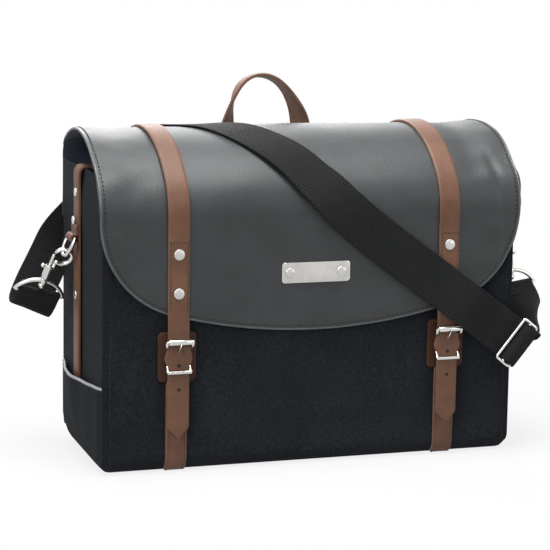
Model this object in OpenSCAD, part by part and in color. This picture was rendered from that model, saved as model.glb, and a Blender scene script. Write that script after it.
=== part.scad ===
// Messenger bag: canvas body, leather flap, buckled closure straps, carrying handle and shoulder strap.
// Origin at the middle of the base, +X to the right seen from the front, the front faces -Y, +Z up.

/* [Body] */
// Width of the canvas body
body_w = 400; // [340:5:460]
// Depth of the canvas body
body_d = 150; // [130:5:190]
// Height of the back panel
body_h = 262; // [255:1:266]
// Height of the gussets' top edge, under the flap
gusset_h = 271; // [267:1:276]
// Height of the front panel, under the flap
front_h = 234; // [190:1:236]
// Thickness of the canvas with its backing
canvas_t = 2; // [1:0.1:3]
// Radius of the upright corners in plan
corner_r = 6; // [4:0.5:12]
// Radius of the long bottom edges
bottom_r = 14; // [8:1:20]
// How far each gusset bulges out
gusset_bulge = 3; // [2:0.5:5]
// Thickness of the lining
lining_t = 1; // [0.6:0.1:2]
// Height of the lining bag's hem
lining_h = 226; // [180:1:230]
// Thickness of the base board
base_board_t = 3; // [1:0.5:5]
// Thickness of the back board
back_board_t = 3; // [1:0.5:5]

/* [Flap] */
// Width of the flap
flap_w = 405; // [400:1:412]
// Thickness of the flap leather
flap_t = 2; // [1.5:0.1:3]
// Thickness of the flap lining
flap_lining_t = 1; // [0.6:0.1:1.5]
// Gap between the flap lining and the front panel
flap_gap = 1; // [0.6:0.1:2]
// Height of the crest
crest_z = 305; // [298:1:312]
// How far the crest lies behind the middle of the body
crest_y = 17; // [8:1:26]
// Height where the front of the flap starts to curve back
shoulder_z = 233; // [228:1:238]
// Radius of the front shoulder
shoulder_r = 50; // [40:1:56]
// Radius of the roll at the back
rear_roll_r = 24; // [18:1:30]
// Lower end of the leather sewn to the back panel
rear_seam_z = 216; // [200:1:230]
// Height of the flap's lower edge in the middle
flap_edge_z = 127; // [118:1:134]
// Radius of the flap's lower corners
flap_corner_r = 90; // [70:1:100]
// Radius of the long curve of the flap's lower edge
flap_edge_r = 510; // [450:10:700]
// How far the line that the flap bends at lies behind the middle of the body
hinge_y = 35; // [30:1:40]

/* [Closure straps] */
// Distance of each closure strap from the middle
strap_x = 131; // [110:1:140]
// Width of the leather straps
strap_w = 20; // [16:1:24]
// Thickness of the closure straps
strap_t = 3; // [2:0.1:3.5]
// Height of the straps' pointed ends
strap_tip_z = 32; // [20:1:50]
// Length of the pointed ends
strap_point = 9; // [5:1:14]
// Height of the upper rivet on the closure straps
upper_rivet_z = 201; // [190:1:212]
// Height of the lower rivet on the closure straps
lower_rivet_z = 165.5; // [158:0.5:178]
// Radius of the rivet heads
rivet_r = 4; // [3:0.1:5]
// Width of the patch behind each buckle
patch_w = 36; // [30:1:44]
// Height of the patch
patch_h = 46; // [40:1:50]
// Height of the lower edge of the patch
patch_z = 84; // [78:1:88]
// Thickness of the patch
patch_t = 2; // [1.4:0.1:2.4]
// Thickness of the lower straps
lower_strap_t = 2.2; // [1.5:0.1:3]

/* [Buckles] */
// Height of the middle bar, which the prong turns on
bar_z = 108; // [106:1:112]
// Distance from the middle bar up to the roller
roller_rise = 14; // [12:0.5:16]
// Distance from the middle bar down to the keeper bar
keeper_drop = 14; // [12:0.5:16]
// Radius of the middle bar
bar_r = 1; // [0.8:0.1:1.2]
// Outer radius of the roller
roller_r = 2.8; // [2.4:0.1:3.2]
// Radius of the roller's axle
axle_r = 1.5; // [1.2:0.1:1.8]
// Radius of the prong
prong_r = 1; // [0.8:0.1:1.2]
// Radius of the magnet snap
snap_r = 4.5; // [3.5:0.5:5]

/* [Name plate] */
// Width of the name plate
plate_w = 66; // [50:1:80]
// Height of the name plate
plate_h = 19; // [14:1:24]
// Thickness of the name plate
plate_t = 1.5; // [1:0.1:2]
// Height of the middle of the name plate
plate_z = 180; // [170:1:190]

/* [Handle] */
// Outer width of the handle loop
handle_w = 84; // [76:1:100]
// Height of the top of the handle
handle_top = 347; // [335:1:360]
// Thickness of the handle leather
handle_t = 3.5; // [2.5:0.1:5]
// Thickness of the handle tabs
tab_t = 3; // [2:0.1:4]

/* [Side straps and pockets] */
// Thickness of the side straps
side_strap_t = 2.5; // [2:0.1:3.5]
// Height of the top rivet on the side straps
top_side_rivet_z = 249; // [242:1:256]
// Height of the rivet above the D-ring
ring_rivet_z = 223; // [218:1:232]
// Height of the lowest rivet on the side straps
low_side_rivet_z = 154; // [130:1:180]
// Height of the loop that holds the D-ring
loop_z = 207.5; // [200:0.5:210]
// Height of the side pockets' upper edge
pocket_top = 78; // [60:1:95]
// How far the side pockets stand out at the middle
pocket_bulge = 12; // [11:0.5:16]
// Radius of the pocket piping
piping_r = 1.5; // [1:0.1:2]

/* [Rings and hooks] */
// Radius of the D-ring wire
d_wire_r = 1.75; // [1.5:0.05:2]
// Radius of the D-ring's round end
d_ring_r = 13; // [12.5:0.5:15]
// Length of the D-ring from its bar to its round end
d_ring_drop = 18; // [17:0.5:20]
// Wire radius of the snap hook's eye and of the swivel loop
hook_wire_r = 1.9; // [1.6:0.1:2]
// Radius of the eye
eye_r = 8.4; // [8:0.1:9]
// Radius of the hook's barrel
barrel_r = 4; // [3.6:0.1:4.5]
// Radius of the bolt
bolt_r = 1.6; // [1.2:0.1:1.8]
// How far the bolt slides
bolt_travel = 7; // [5:0.5:8]
// Distance between the ends of the swivel loop's bar
loop_w = 46; // [44:1:50]
// Height of the swivel loop
loop_h = 15; // [13:0.5:18]

/* [Shoulder strap] */
// Width of the webbing
web_w = 40; // [34:1:41]
// Thickness of the webbing
web_t = 1.5; // [1.2:0.1:1.6]
// Distance between the outer bars of the slider
slider_pitch = 16; // [15:0.5:20]
// Radius of the slider's bars
slider_r = 1.5; // [1.2:0.1:1.6]

/* [Hidden] */
$fn = 48;
clearance = 0.3;
running = 0.05;
half_w = body_w / 2;
half_d = body_d / 2;

// The flap's outer line in the side view: rear roll, crest and shoulder arcs, each tangent to the next
front_y = -(half_d + flap_gap + flap_lining_t + flap_t);
rear_y = half_d + flap_lining_t + flap_t;
flap_total_t = flap_t + flap_lining_t;
shoulder_rise = crest_z - shoulder_z;
shoulder_run = crest_y - front_y - shoulder_r;
shoulder_reach = pow(shoulder_run, 2) + pow(shoulder_rise, 2) - pow(shoulder_r, 2);
crest_r = shoulder_reach / (2 * (shoulder_rise - shoulder_r));
shoulder_c = [front_y + shoulder_r, shoulder_z];
crest_c = [crest_y, crest_z - crest_r];
rear_run = rear_y - rear_roll_r - crest_y;
rear_c = [rear_y - rear_roll_r, crest_c[1] + sqrt(pow(crest_r - rear_roll_r, 2) - pow(rear_run, 2))];
shoulder_a = atan2(shoulder_c[1] - crest_c[1], shoulder_c[0] - crest_c[0]);
rear_a = atan2(rear_c[1] - crest_c[1], rear_c[0] - crest_c[0]);

// Depths at the buckles, from the front panel outwards
strap_step = 1.2;
strap_back_y = front_y - strap_step;
strap_front_y = strap_back_y - strap_t;
prong_ring_wall = 0.55;
bar_y = strap_back_y + clearance + running + bar_r;
roller_y = strap_front_y - 2 * clearance - roller_r;
keeper_y = strap_front_y - clearance - bar_r;
roller_z = bar_z + roller_rise;
keeper_z = bar_z - keeper_drop;
buckle_side_t = 2.2;
buckle_side_x = strap_w / 2 + 1 + buckle_side_t / 2;
roller_l = 2 * buckle_side_x - buckle_side_t - 2 * clearance;
snap_z = (bar_z + keeper_z) / 2 - 0.5;
snap_t = 1.2;

// The side straps lie on the gussets' bulge
side_x = half_w + gusset_bulge + clearance;
loop_bore_r = d_wire_r + clearance;
loop_r = loop_bore_r + 2.2;
loop_x = side_x + side_strap_t + loop_r - 0.6;
left_d_tilt = 25;
right_d_tilt = 25;

// Places along a snap hook, from the eye down, with the barrel on the hook's own axis
wire_in_eye = 2.2;
barrel_top = -12;
barrel_l = 16;
boss_h = 5.4;
ball_r = 3.2;
shank_r = 1.8;
barrel_end = barrel_top - barrel_l;
boss_top = barrel_end - clearance;
boss_end = boss_top - boss_h;
ball_z = boss_end - clearance - ball_r;
loop_top = boss_top - boss_h / 2;
loop_bar = loop_top - loop_h;
loop_arc_r = (pow(loop_w / 2, 2) + pow(loop_h, 2)) / (2 * loop_h);
loop_arc_a = asin(loop_w / 2 / loop_arc_r);
bolt_tip = eye_r * sin(20) - hook_wire_r - clearance;
bolt_end = barrel_top - 4;
left_hook_turn = [30.7, 13.5, 0];
right_hook_turn = [-4, 8.5, 0];

// The handle turns at its rear face, just above its tabs
handle_y = rear_y + clearance;
handle_pivot_z = body_h + 1;
handle_leg_w = 14;
handle_leg_d = 6;
handle_arch_d = 20;
tab_z = 222;

// Routes of the webbing: a point on the middle line, and the direction across the band there
back_route = [
    [[-235.6, 25.9, 150.5], [97, 0, -23]], [[-236.9, 28.5, 145], [97, 0, -23]],
    [[-238.6, 32, 139], [96, 0, -28]], [[-240.5, 36, 135.5], [92, 0, -40]],
    [[-241, 40.2, 136.5], [90, 0, -44]], [[-237.5, 47.5, 144.5], [88, 0, -47]],
    [[-226, 64, 166], [86, 0, -50]], [[-214.5, 75.5, 180.5], [83, 2, -56]],
    [[-204, 81.5, 192.5], [78, 3, -62]], [[-188, 84, 210], [70, 0, -70]],
    [[-165, 84, 232], [68, 0, -73]], [[-140, 84, 255], [66, 0, -75]], [[-120, 84.5, 274], [66, 8, -72]],
    [[-114.5, 82.5, 282.5], [70, 22, -65]], [[-109, 77.8, 289.8], [72, 34, -54]],
    [[-102, 69.5, 296.5], [82, 46, -26]], [[-98.5, 64.5, 299.4], [84, 48, -18]]
];
front_route = [
    [[-98.3, 64.2, 299.6], [84, 48, -18]], [[-94.8, 59.2, 302.5], [84, 48, -14]],
    [[-84, 42, 306.5], [82, 52, -8]],
    [[-68, 18, 309], [86, 50, 0]], [[-54, -8, 307], [86, 48, 12]], [[-38, -33, 299.5], [83, 50, 24]],
    [[-20, -55.5, 286.5], [78, 49, 39]], [[-10, -65.5, 277], [75, 45, 48]],
    [[0, -73.5, 265.5], [72, 38, 58]],
    [[10, -79, 255], [71, 27, 64]], [[20, -82.5, 244], [69, 14, 71]], [[31, -83.5, 233.5], [65, 5, 76]],
    [[42, -83.5, 224], [60, 0, 80]], [[75, -84, 198.5], [60, 0, 80]], [[105, -85, 176.5], [60, 0, 80]],
    [[131, -88.5, 157], [60, 0, 80]], [[152, -92, 141], [60, 0, 80]], [[172, -90, 127], [62, 0, 78]],
    [[186, -86, 116.5], [63, 0, 77]], [[193.3, -84.6, 110.9], [63, 0, 77]],
    [[199.5, -91.4, 105.8], [63, 0, 77]],
    [[205.7, -84.6, 100.7], [63, 0, 77]]
];
return_route = [
    [[205.9, -84.4, 100.5], [63, 0, 77]], [[208.3, -82.6, 98.6], [63, 0, 77]],
    [[212.5, -79.5, 97.5], [60, -8, 78]], [[217.5, -71, 99.5], [54, -12, 83]],
    [[221.5, -58, 104.5], [50, -6, 86]], [[225.8, -42, 112.5], [56, 0, 83]],
    [[230.5, -25.5, 124.5], [76, 0, 65]], [[233.6, -12, 137.4], [97, 0, 20]],
    [[232.72, -5.27, 143.21], [99, 0, 14.8]]
];
slider_at = [199.5, -88, 105.8];
slider_turn = 39.3;

black_canvas = [0.11, 0.12, 0.15];
navy_lining = [0.13, 0.15, 0.2];
flap_leather = [0.25, 0.27, 0.28];
brown_leather = [0.42, 0.28, 0.2];
dark_leather = [0.33, 0.2, 0.14];
nickel = [0.8, 0.8, 0.78];
webbing_black = [0.13, 0.13, 0.14];
piping_grey = [0.66, 0.67, 0.69];
board_grey = [0.35, 0.35, 0.36];

// Points of an arc about c
function arc(c, r, a0, a1, n) = [
    for (i = [0:n])
        let (a = a0 + (a1 - a0) * i / n)
        [c[0] + r * cos(a), c[1] + r * sin(a)]
];

// The flap's line in the side view, moved outwards by o: from the rear seam over the crest, down to low_z
function flap_line(o, low_z) = concat(
    [[rear_y + o, rear_seam_z]],
    arc(rear_c, rear_roll_r + o, 0, rear_a, 8),
    arc(crest_c, crest_r + o, rear_a + 4, shoulder_a - 4, 12),
    arc(shoulder_c, shoulder_r + o, shoulder_a, 180, 10),
    [[front_y - o, low_z]]
);

// A closure strap's line: on the flap, then a step forward off its lower edge and straight down
function strap_line(o) = concat(
    flap_line(o, 150),
    [[strap_back_y - o, 138], [strap_back_y - o, strap_tip_z]]
);

function reversed(points) = [for (i = [len(points) - 1:-1:0]) points[i]];

// The outline of the body in plan, drawn in by o, with bulging sides
bulge_chord = body_d - 2 * corner_r;
bulge_r = (pow(bulge_chord / 2, 2) + pow(gusset_bulge, 2)) / (2 * gusset_bulge);
bulge_a = asin(bulge_chord / 2 / bulge_r);
function plan_right(o) = concat(
    arc([half_w - corner_r, corner_r - half_d], corner_r - o, -90, 0, 6),
    arc([half_w + gusset_bulge - bulge_r, 0], bulge_r - o, -0.93 * bulge_a, 0.93 * bulge_a, 12),
    arc([half_w - corner_r, half_d - corner_r], corner_r - o, 0, 90, 6)
);
function mirrored(points) = [for (p = reversed(points)) [-p[0], p[1]]];
module plan(o) {
    polygon(concat(plan_right(o), mirrored(plan_right(o))));
}

// Carries a side view (y, z) across the bag, w wide about x
module across(w, x = 0) {
    translate([x - w / 2, 0, 0])
        rotate([90, 0, 90])
            linear_extrude(w)
                children();
}

// Carries a front view (x, z) from depth y0 back to y1
module front_view(y0, y1) {
    translate([0, y1, 0])
        rotate([90, 0, 0])
            linear_extrude(y1 - y0)
                children();
}

module rounded_rectangle(w, h, r) {
    polygon(concat(
        arc([w / 2 - r, h / 2 - r], r, 0, 90, 6),
        arc([r - w / 2, h / 2 - r], r, 90, 180, 6),
        arc([r - w / 2, r - h / 2], r, 180, 270, 6),
        arc([w / 2 - r, r - h / 2], r, 270, 360, 6)
    ));
}

// A rod along Y, and one along X, about the origin
module rod_y(r, l) {
    rotate([90, 0, 0])
        cylinder(r = r, h = l, center = true);
}

module rod_x(r, l) {
    rotate([0, 90, 0])
        cylinder(r = r, h = l, center = true);
}

// The space under the flap, down to the floor
module under_flap() {
    o = -(flap_total_t + flap_gap);
    polygon(concat([[rear_y + o, -1]], flap_line(o, -1)));
}

// Side view of a panel that turns under the bag with the bottom radius, over some of eight equal steps of a
// quarter turn: o0 and o1 are its faces' offsets
module panel_strip(o0, o1, top, steps = 8) {
    c = [bottom_r - half_d, bottom_r];
    end_a = 180 + 90 * steps / 8;
    polygon(concat(
        [[-half_d - o1, top]], arc(c, bottom_r + o1, 180, end_a, steps),
        arc(c, bottom_r + o0, end_a, 180, steps), [[-half_d - o0, top]]
    ));
}

module front_panel() {
    color(black_canvas)
        across(body_w - 2 * corner_r)
            panel_strip(-canvas_t, 0, front_h);
}

module back_panel() {
    color(black_canvas)
        mirror([0, 1, 0])
            across(body_w - 2 * corner_r)
                panel_strip(-canvas_t, 0, body_h);
}

module bottom_panel() {
    color(black_canvas)
        translate([corner_r - half_w, bottom_r - half_d, 0])
            cube([body_w - 2 * corner_r, body_d - 2 * bottom_r, canvas_t]);
}

// The side of the body, to the outside of the upright corners
module beyond_corners() {
    translate([half_w - corner_r, -half_d - 1])
        square([corner_r + gusset_bulge + 1, body_d + 2]);
}

module gusset_right() {
    intersection() {
        union() {
            linear_extrude(gusset_h)
                intersection() {
                    difference() {
                        plan(0);
                        plan(canvas_t);
                    }
                    beyond_corners();
                }
            linear_extrude(canvas_t)
                intersection() {
                    plan(0);
                    beyond_corners();
                }
        }
        across(2 * (body_w + gusset_bulge))
            intersection() {
                polygon(concat(
                    arc([bottom_r - half_d, bottom_r], bottom_r, 180, 270, 8),
                    arc([half_d - bottom_r, bottom_r], bottom_r, 270, 360, 8),
                    [[half_d, gusset_h], [-half_d, gusset_h]]
                ));
                under_flap();
            }
    }
}

module left_gusset() {
    color(black_canvas)
        mirror([1, 0, 0])
            gusset_right();
}

module right_gusset() {
    color(black_canvas)
        gusset_right();
}

module base_board() {
    color(board_grey)
        translate([corner_r - half_w, bottom_r - half_d, canvas_t])
            cube([body_w - 2 * corner_r, body_d - 2 * bottom_r, base_board_t]);
}

module back_board() {
    color(board_grey)
        translate([corner_r - half_w, half_d - canvas_t - back_board_t, bottom_r])
            cube([body_w - 2 * corner_r, back_board_t, lining_h - bottom_r]);
}

// The lining bag stands on the base board, in front of the back board
lining_z = canvas_t + base_board_t;
lining_w = body_w - 2 * corner_r;
lining_d = body_d - 2 * canvas_t - back_board_t - clearance;
lining_r = bottom_r + 2;
module lining_plan(o) {
    translate([0, -back_board_t / 2 - clearance / 2])
        rounded_rectangle(lining_w - 2 * o, lining_d - 2 * clearance - 2 * o, lining_r - o);
}

module lining() {
    color(navy_lining)
        difference() {
            translate([0, 0, lining_z])
                linear_extrude(lining_h - lining_z)
                    lining_plan(0);
            translate([0, 0, lining_z + lining_t])
                linear_extrude(lining_h)
                    lining_plan(lining_t);
            lower_edges();
        }
}

// The lining's lower long edges keep clear of the panels' bottom radius
module lower_edges() {
    lower_edge();
    mirror([0, 1, 0])
        lower_edge();
}

module lower_edge() {
    across(body_w)
        difference() {
            translate([-half_d, 0])
                square([bottom_r, bottom_r]);
            translate([bottom_r - half_d, bottom_r])
                circle(r = bottom_r - canvas_t - clearance);
        }
}

// The pocket's curve in plan, from one upright corner to the other
pocket_chord = body_d - 2 * corner_r;
pocket_r = (pow(pocket_chord / 2, 2) + pow(pocket_bulge, 2)) / (2 * pocket_bulge);
pocket_c = [half_w + pocket_bulge - pocket_r, 0];
pocket_end_y = pocket_chord / 2 * sqrt(1 - (canvas_t + clearance) / (pocket_bulge - gusset_bulge)) - 3;
pocket_end_a = asin(pocket_end_y / pocket_r);
pocket_z = 6;

// The gusset's curve in plan, a little outside its face
gusset_end_a = asin(pocket_end_y / bulge_r);
function gusset_curve() =
    arc([half_w + gusset_bulge - bulge_r, 0], bulge_r + clearance, gusset_end_a, -gusset_end_a, 10);

module pocket_right() {
    translate([0, 0, pocket_z])
        linear_extrude(pocket_top - pocket_z)
            polygon(concat(
                arc(pocket_c, pocket_r, -pocket_end_a, pocket_end_a, 14),
                arc(pocket_c, pocket_r - canvas_t, pocket_end_a, -pocket_end_a, 14)
            ));
    translate([0, 0, pocket_z])
        linear_extrude(canvas_t)
            polygon(concat(
                arc(pocket_c, pocket_r - canvas_t / 2, -pocket_end_a, pocket_end_a, 14),
                gusset_curve()
            ));
}

module left_side_pocket() {
    color(black_canvas)
        mirror([1, 0, 0])
            pocket_right();
}

module right_side_pocket() {
    color(black_canvas)
        pocket_right();
}

module piping_right() {
    translate([pocket_c[0], 0, pocket_top + piping_r])
        rotate([0, 0, -pocket_end_a])
            rotate_extrude(angle = 2 * pocket_end_a)
                translate([pocket_r - canvas_t / 2, 0])
                    circle(r = piping_r);
}

module left_pocket_piping() {
    color(piping_grey)
        mirror([1, 0, 0])
            piping_right();
}

module right_pocket_piping() {
    color(piping_grey)
        piping_right();
}

// Each side strap's upper end is folded in over the gusset's top edge
side_strap_z0 = 40;
side_strap_fold_z = gusset_h + clearance;
side_strap_z1 = side_strap_fold_z + side_strap_t;
side_strap_fold_l = 14;
module side_strap_right() {
    difference() {
        union() {
            translate([side_x, -strap_w / 2, side_strap_z0])
                cube([side_strap_t, strap_w, side_strap_z1 - side_strap_z0]);
            translate([side_x + side_strap_t - side_strap_fold_l, -strap_w / 2, side_strap_fold_z])
                cube([side_strap_fold_l, strap_w, side_strap_t]);
            translate([loop_x, 0, loop_z])
                rod_y(loop_r, strap_w);
        }
        translate([loop_x, 0, loop_z])
            rod_y(loop_bore_r, strap_w + 2);
    }
}

module left_side_strap() {
    color(brown_leather)
        mirror([1, 0, 0])
            side_strap_right();
}

module right_side_strap() {
    color(brown_leather)
        side_strap_right();
}

// A rivet's head: a low dome on a flat, its seat on the XY plane
head_t = 1.4;
module rivet_head() {
    dome_r = (pow(rivet_r, 2) + pow(head_t, 2)) / (2 * head_t);
    intersection() {
        translate([0, 0, head_t - dome_r])
            sphere(r = dome_r);
        cylinder(r = rivet_r, h = head_t);
    }
}

module side_rivets_right() {
    for (z = [top_side_rivet_z, ring_rivet_z, low_side_rivet_z])
        translate([side_x + side_strap_t, 0, z])
            rotate([0, 90, 0])
                rivet_head();
}

module left_side_rivets() {
    color(nickel)
        mirror([1, 0, 0])
            side_rivets_right();
}

module right_side_rivets() {
    color(nickel)
        side_rivets_right();
}

// A D-ring hanging straight down from its bar, which lies along Y at the origin
d_legs = d_ring_drop - d_ring_r;
module d_ring() {
    rod_y(d_wire_r, 2 * d_ring_r);
    for (s = [-1, 1])
        translate([0, s * d_ring_r, 0]) {
            sphere(r = d_wire_r);
            translate([0, 0, -d_legs])
                cylinder(r = d_wire_r, h = d_legs);
        }
    translate([0, 0, -d_legs])
        rotate([0, 90, 0])
            rotate([0, 0, -90])
                rotate_extrude(angle = 180)
                    translate([d_ring_r, 0])
                        circle(r = d_wire_r);
}

module left_d_ring() {
    color(nickel)
        translate([-loop_x, 0, loop_z])
            rotate([0, left_d_tilt, 0])
                d_ring();
}

module right_d_ring() {
    color(nickel)
        translate([loop_x, 0, loop_z])
            rotate([0, -right_d_tilt, 0])
                d_ring();
}

module lower_strap(s) {
    color(brown_leather)
        across(strap_w, s * strap_x)
            panel_strip(0, lower_strap_t, patch_z, 5);
}

module left_lower_strap() {
    lower_strap(-1);
}

module right_lower_strap() {
    lower_strap(1);
}

module buckle_patch(s) {
    color(dark_leather)
        translate([s * strap_x, 0, patch_z + patch_h / 2])
            front_view(-half_d - patch_t, -half_d)
                rounded_rectangle(patch_w, patch_h, 5);
}

module left_buckle_patch() {
    buckle_patch(-1);
}

module right_buckle_patch() {
    buckle_patch(1);
}

// The magnet snap: a socket on the patch, and a stud on the back of the closure strap
module snap_socket(s) {
    color(nickel)
        translate([s * strap_x, -half_d - patch_t, snap_z])
            rotate([90, 0, 0])
                cylinder(r = snap_r, h = snap_t);
}

module left_snap_socket() {
    snap_socket(-1);
}

module right_snap_socket() {
    snap_socket(1);
}

module snap_stud(s) {
    gap_y = -half_d - patch_t - snap_t - clearance;
    color(nickel)
        translate([s * strap_x, strap_back_y, snap_z])
            rotate([-90, 0, 0])
                cylinder(r = snap_r, h = gap_y - strap_back_y);
}

module left_snap_stud() {
    snap_stud(-1);
}

module right_snap_stud() {
    snap_stud(1);
}

// A layer of the flap between two offsets, split at the line that it bends at
hinge_gap = 0.15;
module flap_layer(o0, o1) {
    polygon(concat(flap_line(o1, flap_edge_z - 2), reversed(flap_line(o0, flap_edge_z - 2))));
}

module behind_hinge() {
    translate([-body_w, hinge_y + hinge_gap, 0])
        cube([2 * body_w, body_d, 2 * crest_z]);
}

module rear_layer(o0, o1) {
    intersection() {
        across(flap_w - 7)
            flap_layer(o0, o1);
        behind_hinge();
    }
}

module flap_rear_roll() {
    color(flap_leather)
        rear_layer(-flap_t, 0);
}

module flap_rear_lining() {
    color(navy_lining)
        rear_layer(-flap_total_t, -flap_t);
}

// Front view of the flap: a long shallow curve below, with large round corners
corner_cx = flap_w / 2 - flap_corner_r;
edge_cz = flap_edge_z + flap_edge_r;
corner_cz = edge_cz - sqrt(pow(flap_edge_r - flap_corner_r, 2) - pow(corner_cx, 2));
corner_start_a = atan2(corner_cz - edge_cz, corner_cx);
module flap_outline() {
    right = concat(
        arc([0, edge_cz], flap_edge_r, -90, corner_start_a, 8),
        arc([corner_cx, corner_cz], flap_corner_r, corner_start_a + 4, 0, 12),
        [[flap_w / 2, 2 * crest_z]]
    );
    polygon(concat(right, mirrored(right)));
}

// Holes through the flap for the rivets of the straps and of the name plate
pin_r = 1.2;
plate_rivet_x = plate_w / 2 - 8;
module flap_holes() {
    for (s = [-1, 1]) {
        for (z = [upper_rivet_z, lower_rivet_z])
            translate([s * strap_x, 0, z])
                pin_hole();
        translate([s * plate_rivet_x, 0, plate_z])
            pin_hole();
    }
}

module pin_hole() {
    translate([0, -half_d + 1, 0])
        rotate([90, 0, 0])
            cylinder(r = pin_r + clearance / 3, h = 20);
}

module front_layer(o0, o1) {
    difference() {
        intersection() {
            across(flap_w)
                flap_layer(o0, o1);
            front_view(-body_d, hinge_y - hinge_gap)
                flap_outline();
        }
        flap_holes();
    }
}

module flap_shell() {
    color(flap_leather)
        front_layer(-flap_t, 0);
}

module flap_lining() {
    color(navy_lining)
        front_layer(-flap_total_t, -flap_t);
}

// A closure strap with its pointed end, its rivet holes and its slot for the prong
slot_w = 2 * prong_r + 1;
slot_l = 13;
tail_hole_zs = [keeper_z + 6, keeper_z - 16];
module strap_band(s) {
    across(strap_w, s * strap_x)
        polygon(concat(strap_line(strap_t), reversed(strap_line(0))));
}

module closure_strap(s) {
    color(brown_leather)
        difference() {
            intersection() {
                strap_band(s);
                translate([s * strap_x, 0, 0])
                    front_view(-body_d, hinge_y - hinge_gap)
                        polygon([
                            [0, strap_tip_z], [strap_w / 2, strap_tip_z + strap_point],
                            [strap_w / 2, 2 * crest_z], [-strap_w / 2, 2 * crest_z],
                            [-strap_w / 2, strap_tip_z + strap_point]
                        ]);
            }
            flap_holes();
            translate([s * strap_x - slot_w / 2, strap_front_y - 1, bar_z - slot_l / 3])
                cube([slot_w, strap_t + 2, slot_l]);
            for (z = tail_hole_zs)
                translate([s * strap_x, strap_back_y + 1, z])
                    rotate([90, 0, 0])
                        cylinder(r = 1.8, h = strap_t + 2);
        }
}

module left_closure_strap() {
    closure_strap(-1);
}

module right_closure_strap() {
    closure_strap(1);
}

module strap_anchor(s) {
    color(brown_leather)
        intersection() {
            strap_band(s);
            behind_hinge();
        }
}

module left_strap_anchor() {
    strap_anchor(-1);
}

module right_strap_anchor() {
    strap_anchor(1);
}

// A rivet through the flap, its head seated at depth seat_y and its washer behind the lining
washer_t = 0.6;
module flap_rivet(seat_y) {
    back_y = -half_d - flap_gap;
    translate([0, seat_y, 0])
        rotate([90, 0, 0])
            rivet_head();
    translate([0, back_y, 0])
        rotate([90, 0, 0])
            cylinder(r = pin_r, h = back_y - seat_y);
    translate([0, back_y + washer_t, 0])
        rotate([90, 0, 0])
            cylinder(r = 0.7 * rivet_r, h = washer_t);
}

module closure_rivets(s) {
    color(nickel)
        for (z = [upper_rivet_z, lower_rivet_z])
            translate([s * strap_x, 0, z])
                flap_rivet(front_y - strap_t);
}

module left_closure_rivets() {
    closure_rivets(-1);
}

module right_closure_rivets() {
    closure_rivets(1);
}

module name_plate() {
    color(nickel)
        difference() {
            translate([0, 0, plate_z])
                front_view(front_y - plate_t, front_y)
                    rounded_rectangle(plate_w, plate_h, 3);
            flap_holes();
        }
}

module name_plate_rivets() {
    color(nickel)
        for (s = [-1, 1])
            translate([s * plate_rivet_x, 0, plate_z])
                flap_rivet(front_y - plate_t);
}

// One side of a buckle frame in the side view: from the axle in to the middle bar and out to the keeper
side_half = 1.6;
module buckle_side() {
    polygon([
        [roller_y - side_half, roller_z + side_half], [roller_y + side_half, roller_z + side_half],
        [bar_y + side_half, bar_z], [keeper_y + side_half, keeper_z - side_half],
        [keeper_y - side_half, keeper_z - side_half], [bar_y - 2 * side_half, bar_z]
    ]);
}

module buckle_frame(s) {
    color(nickel)
        translate([s * strap_x, 0, 0]) {
            for (side = [-1, 1])
                across(buckle_side_t, side * buckle_side_x)
                    buckle_side();
            translate([0, roller_y, roller_z])
                rod_x(axle_r, 2 * buckle_side_x);
            translate([0, bar_y, bar_z])
                rod_x(bar_r, 2 * buckle_side_x);
            translate([0, keeper_y, keeper_z])
                rod_x(bar_r, 2 * buckle_side_x);
        }
}

module left_buckle_frame() {
    buckle_frame(-1);
}

module right_buckle_frame() {
    buckle_frame(1);
}

module buckle_roller(s) {
    color(nickel)
        translate([s * strap_x, roller_y, roller_z])
            difference() {
                rod_x(roller_r, roller_l);
                rod_x(axle_r + running, roller_l + 2);
            }
}

module left_buckle_roller() {
    buckle_roller(-1);
}

module right_buckle_roller() {
    buckle_roller(1);
}

// The prong turns on the middle bar and lies past the front of the roller
to_roller = [roller_y - bar_y, roller_rise];
roller_reach = norm(to_roller);
prong_lift = asin((roller_r + prong_r + clearance) / roller_reach);
prong_a = atan2(to_roller[1], -to_roller[0]) - prong_lift;
prong_l = roller_reach + 1;
prong_ring_l = slot_w - 2 * clearance;
module buckle_prong(s) {
    color(nickel)
        translate([s * strap_x, bar_y, bar_z])
            difference() {
                union() {
                    rod_x(bar_r + running + prong_ring_wall, prong_ring_l);
                    rotate([90 - prong_a, 0, 0])
                        cylinder(r = prong_r, h = prong_l);
                }
                rod_x(bar_r + running, prong_ring_l + 2 * prong_r);
            }
}

module left_buckle_prong() {
    buckle_prong(-1);
}

module right_buckle_prong() {
    buckle_prong(1);
}

// The handle loop: flat legs above the tabs, and an arch turned on edge
module handle() {
    arch_r = handle_w / 2;
    arch_z = handle_top - arch_r;
    leg_z = handle_pivot_z + clearance;
    arch_y = handle_y + handle_leg_d / 2;
    color(brown_leather) {
        for (s = [-1, 1])
            translate([s * (arch_r - handle_leg_w / 2) - handle_leg_w / 2, handle_y, leg_z])
                cube([handle_leg_w, handle_leg_d, arch_z - leg_z + clearance]);
        front_view(arch_y - handle_arch_d / 2, arch_y + handle_arch_d / 2)
            difference() {
                translate([0, arch_z])
                    circle(r = arch_r);
                translate([0, arch_z])
                    circle(r = arch_r - handle_t);
                translate([-arch_r - 1, arch_z - 2 * arch_r])
                    square([2 * arch_r + 2, 2 * arch_r]);
            }
    }
}

module handle_tabs() {
    tab_x = handle_w / 2 - handle_leg_w / 2;
    color(brown_leather)
        for (s = [-1, 1])
            translate([s * tab_x, 0, (tab_z + body_h) / 2])
                front_view(rear_y, rear_y + tab_t)
                    rounded_rectangle(strap_w + 6, body_h - tab_z, 4);
}

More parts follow.
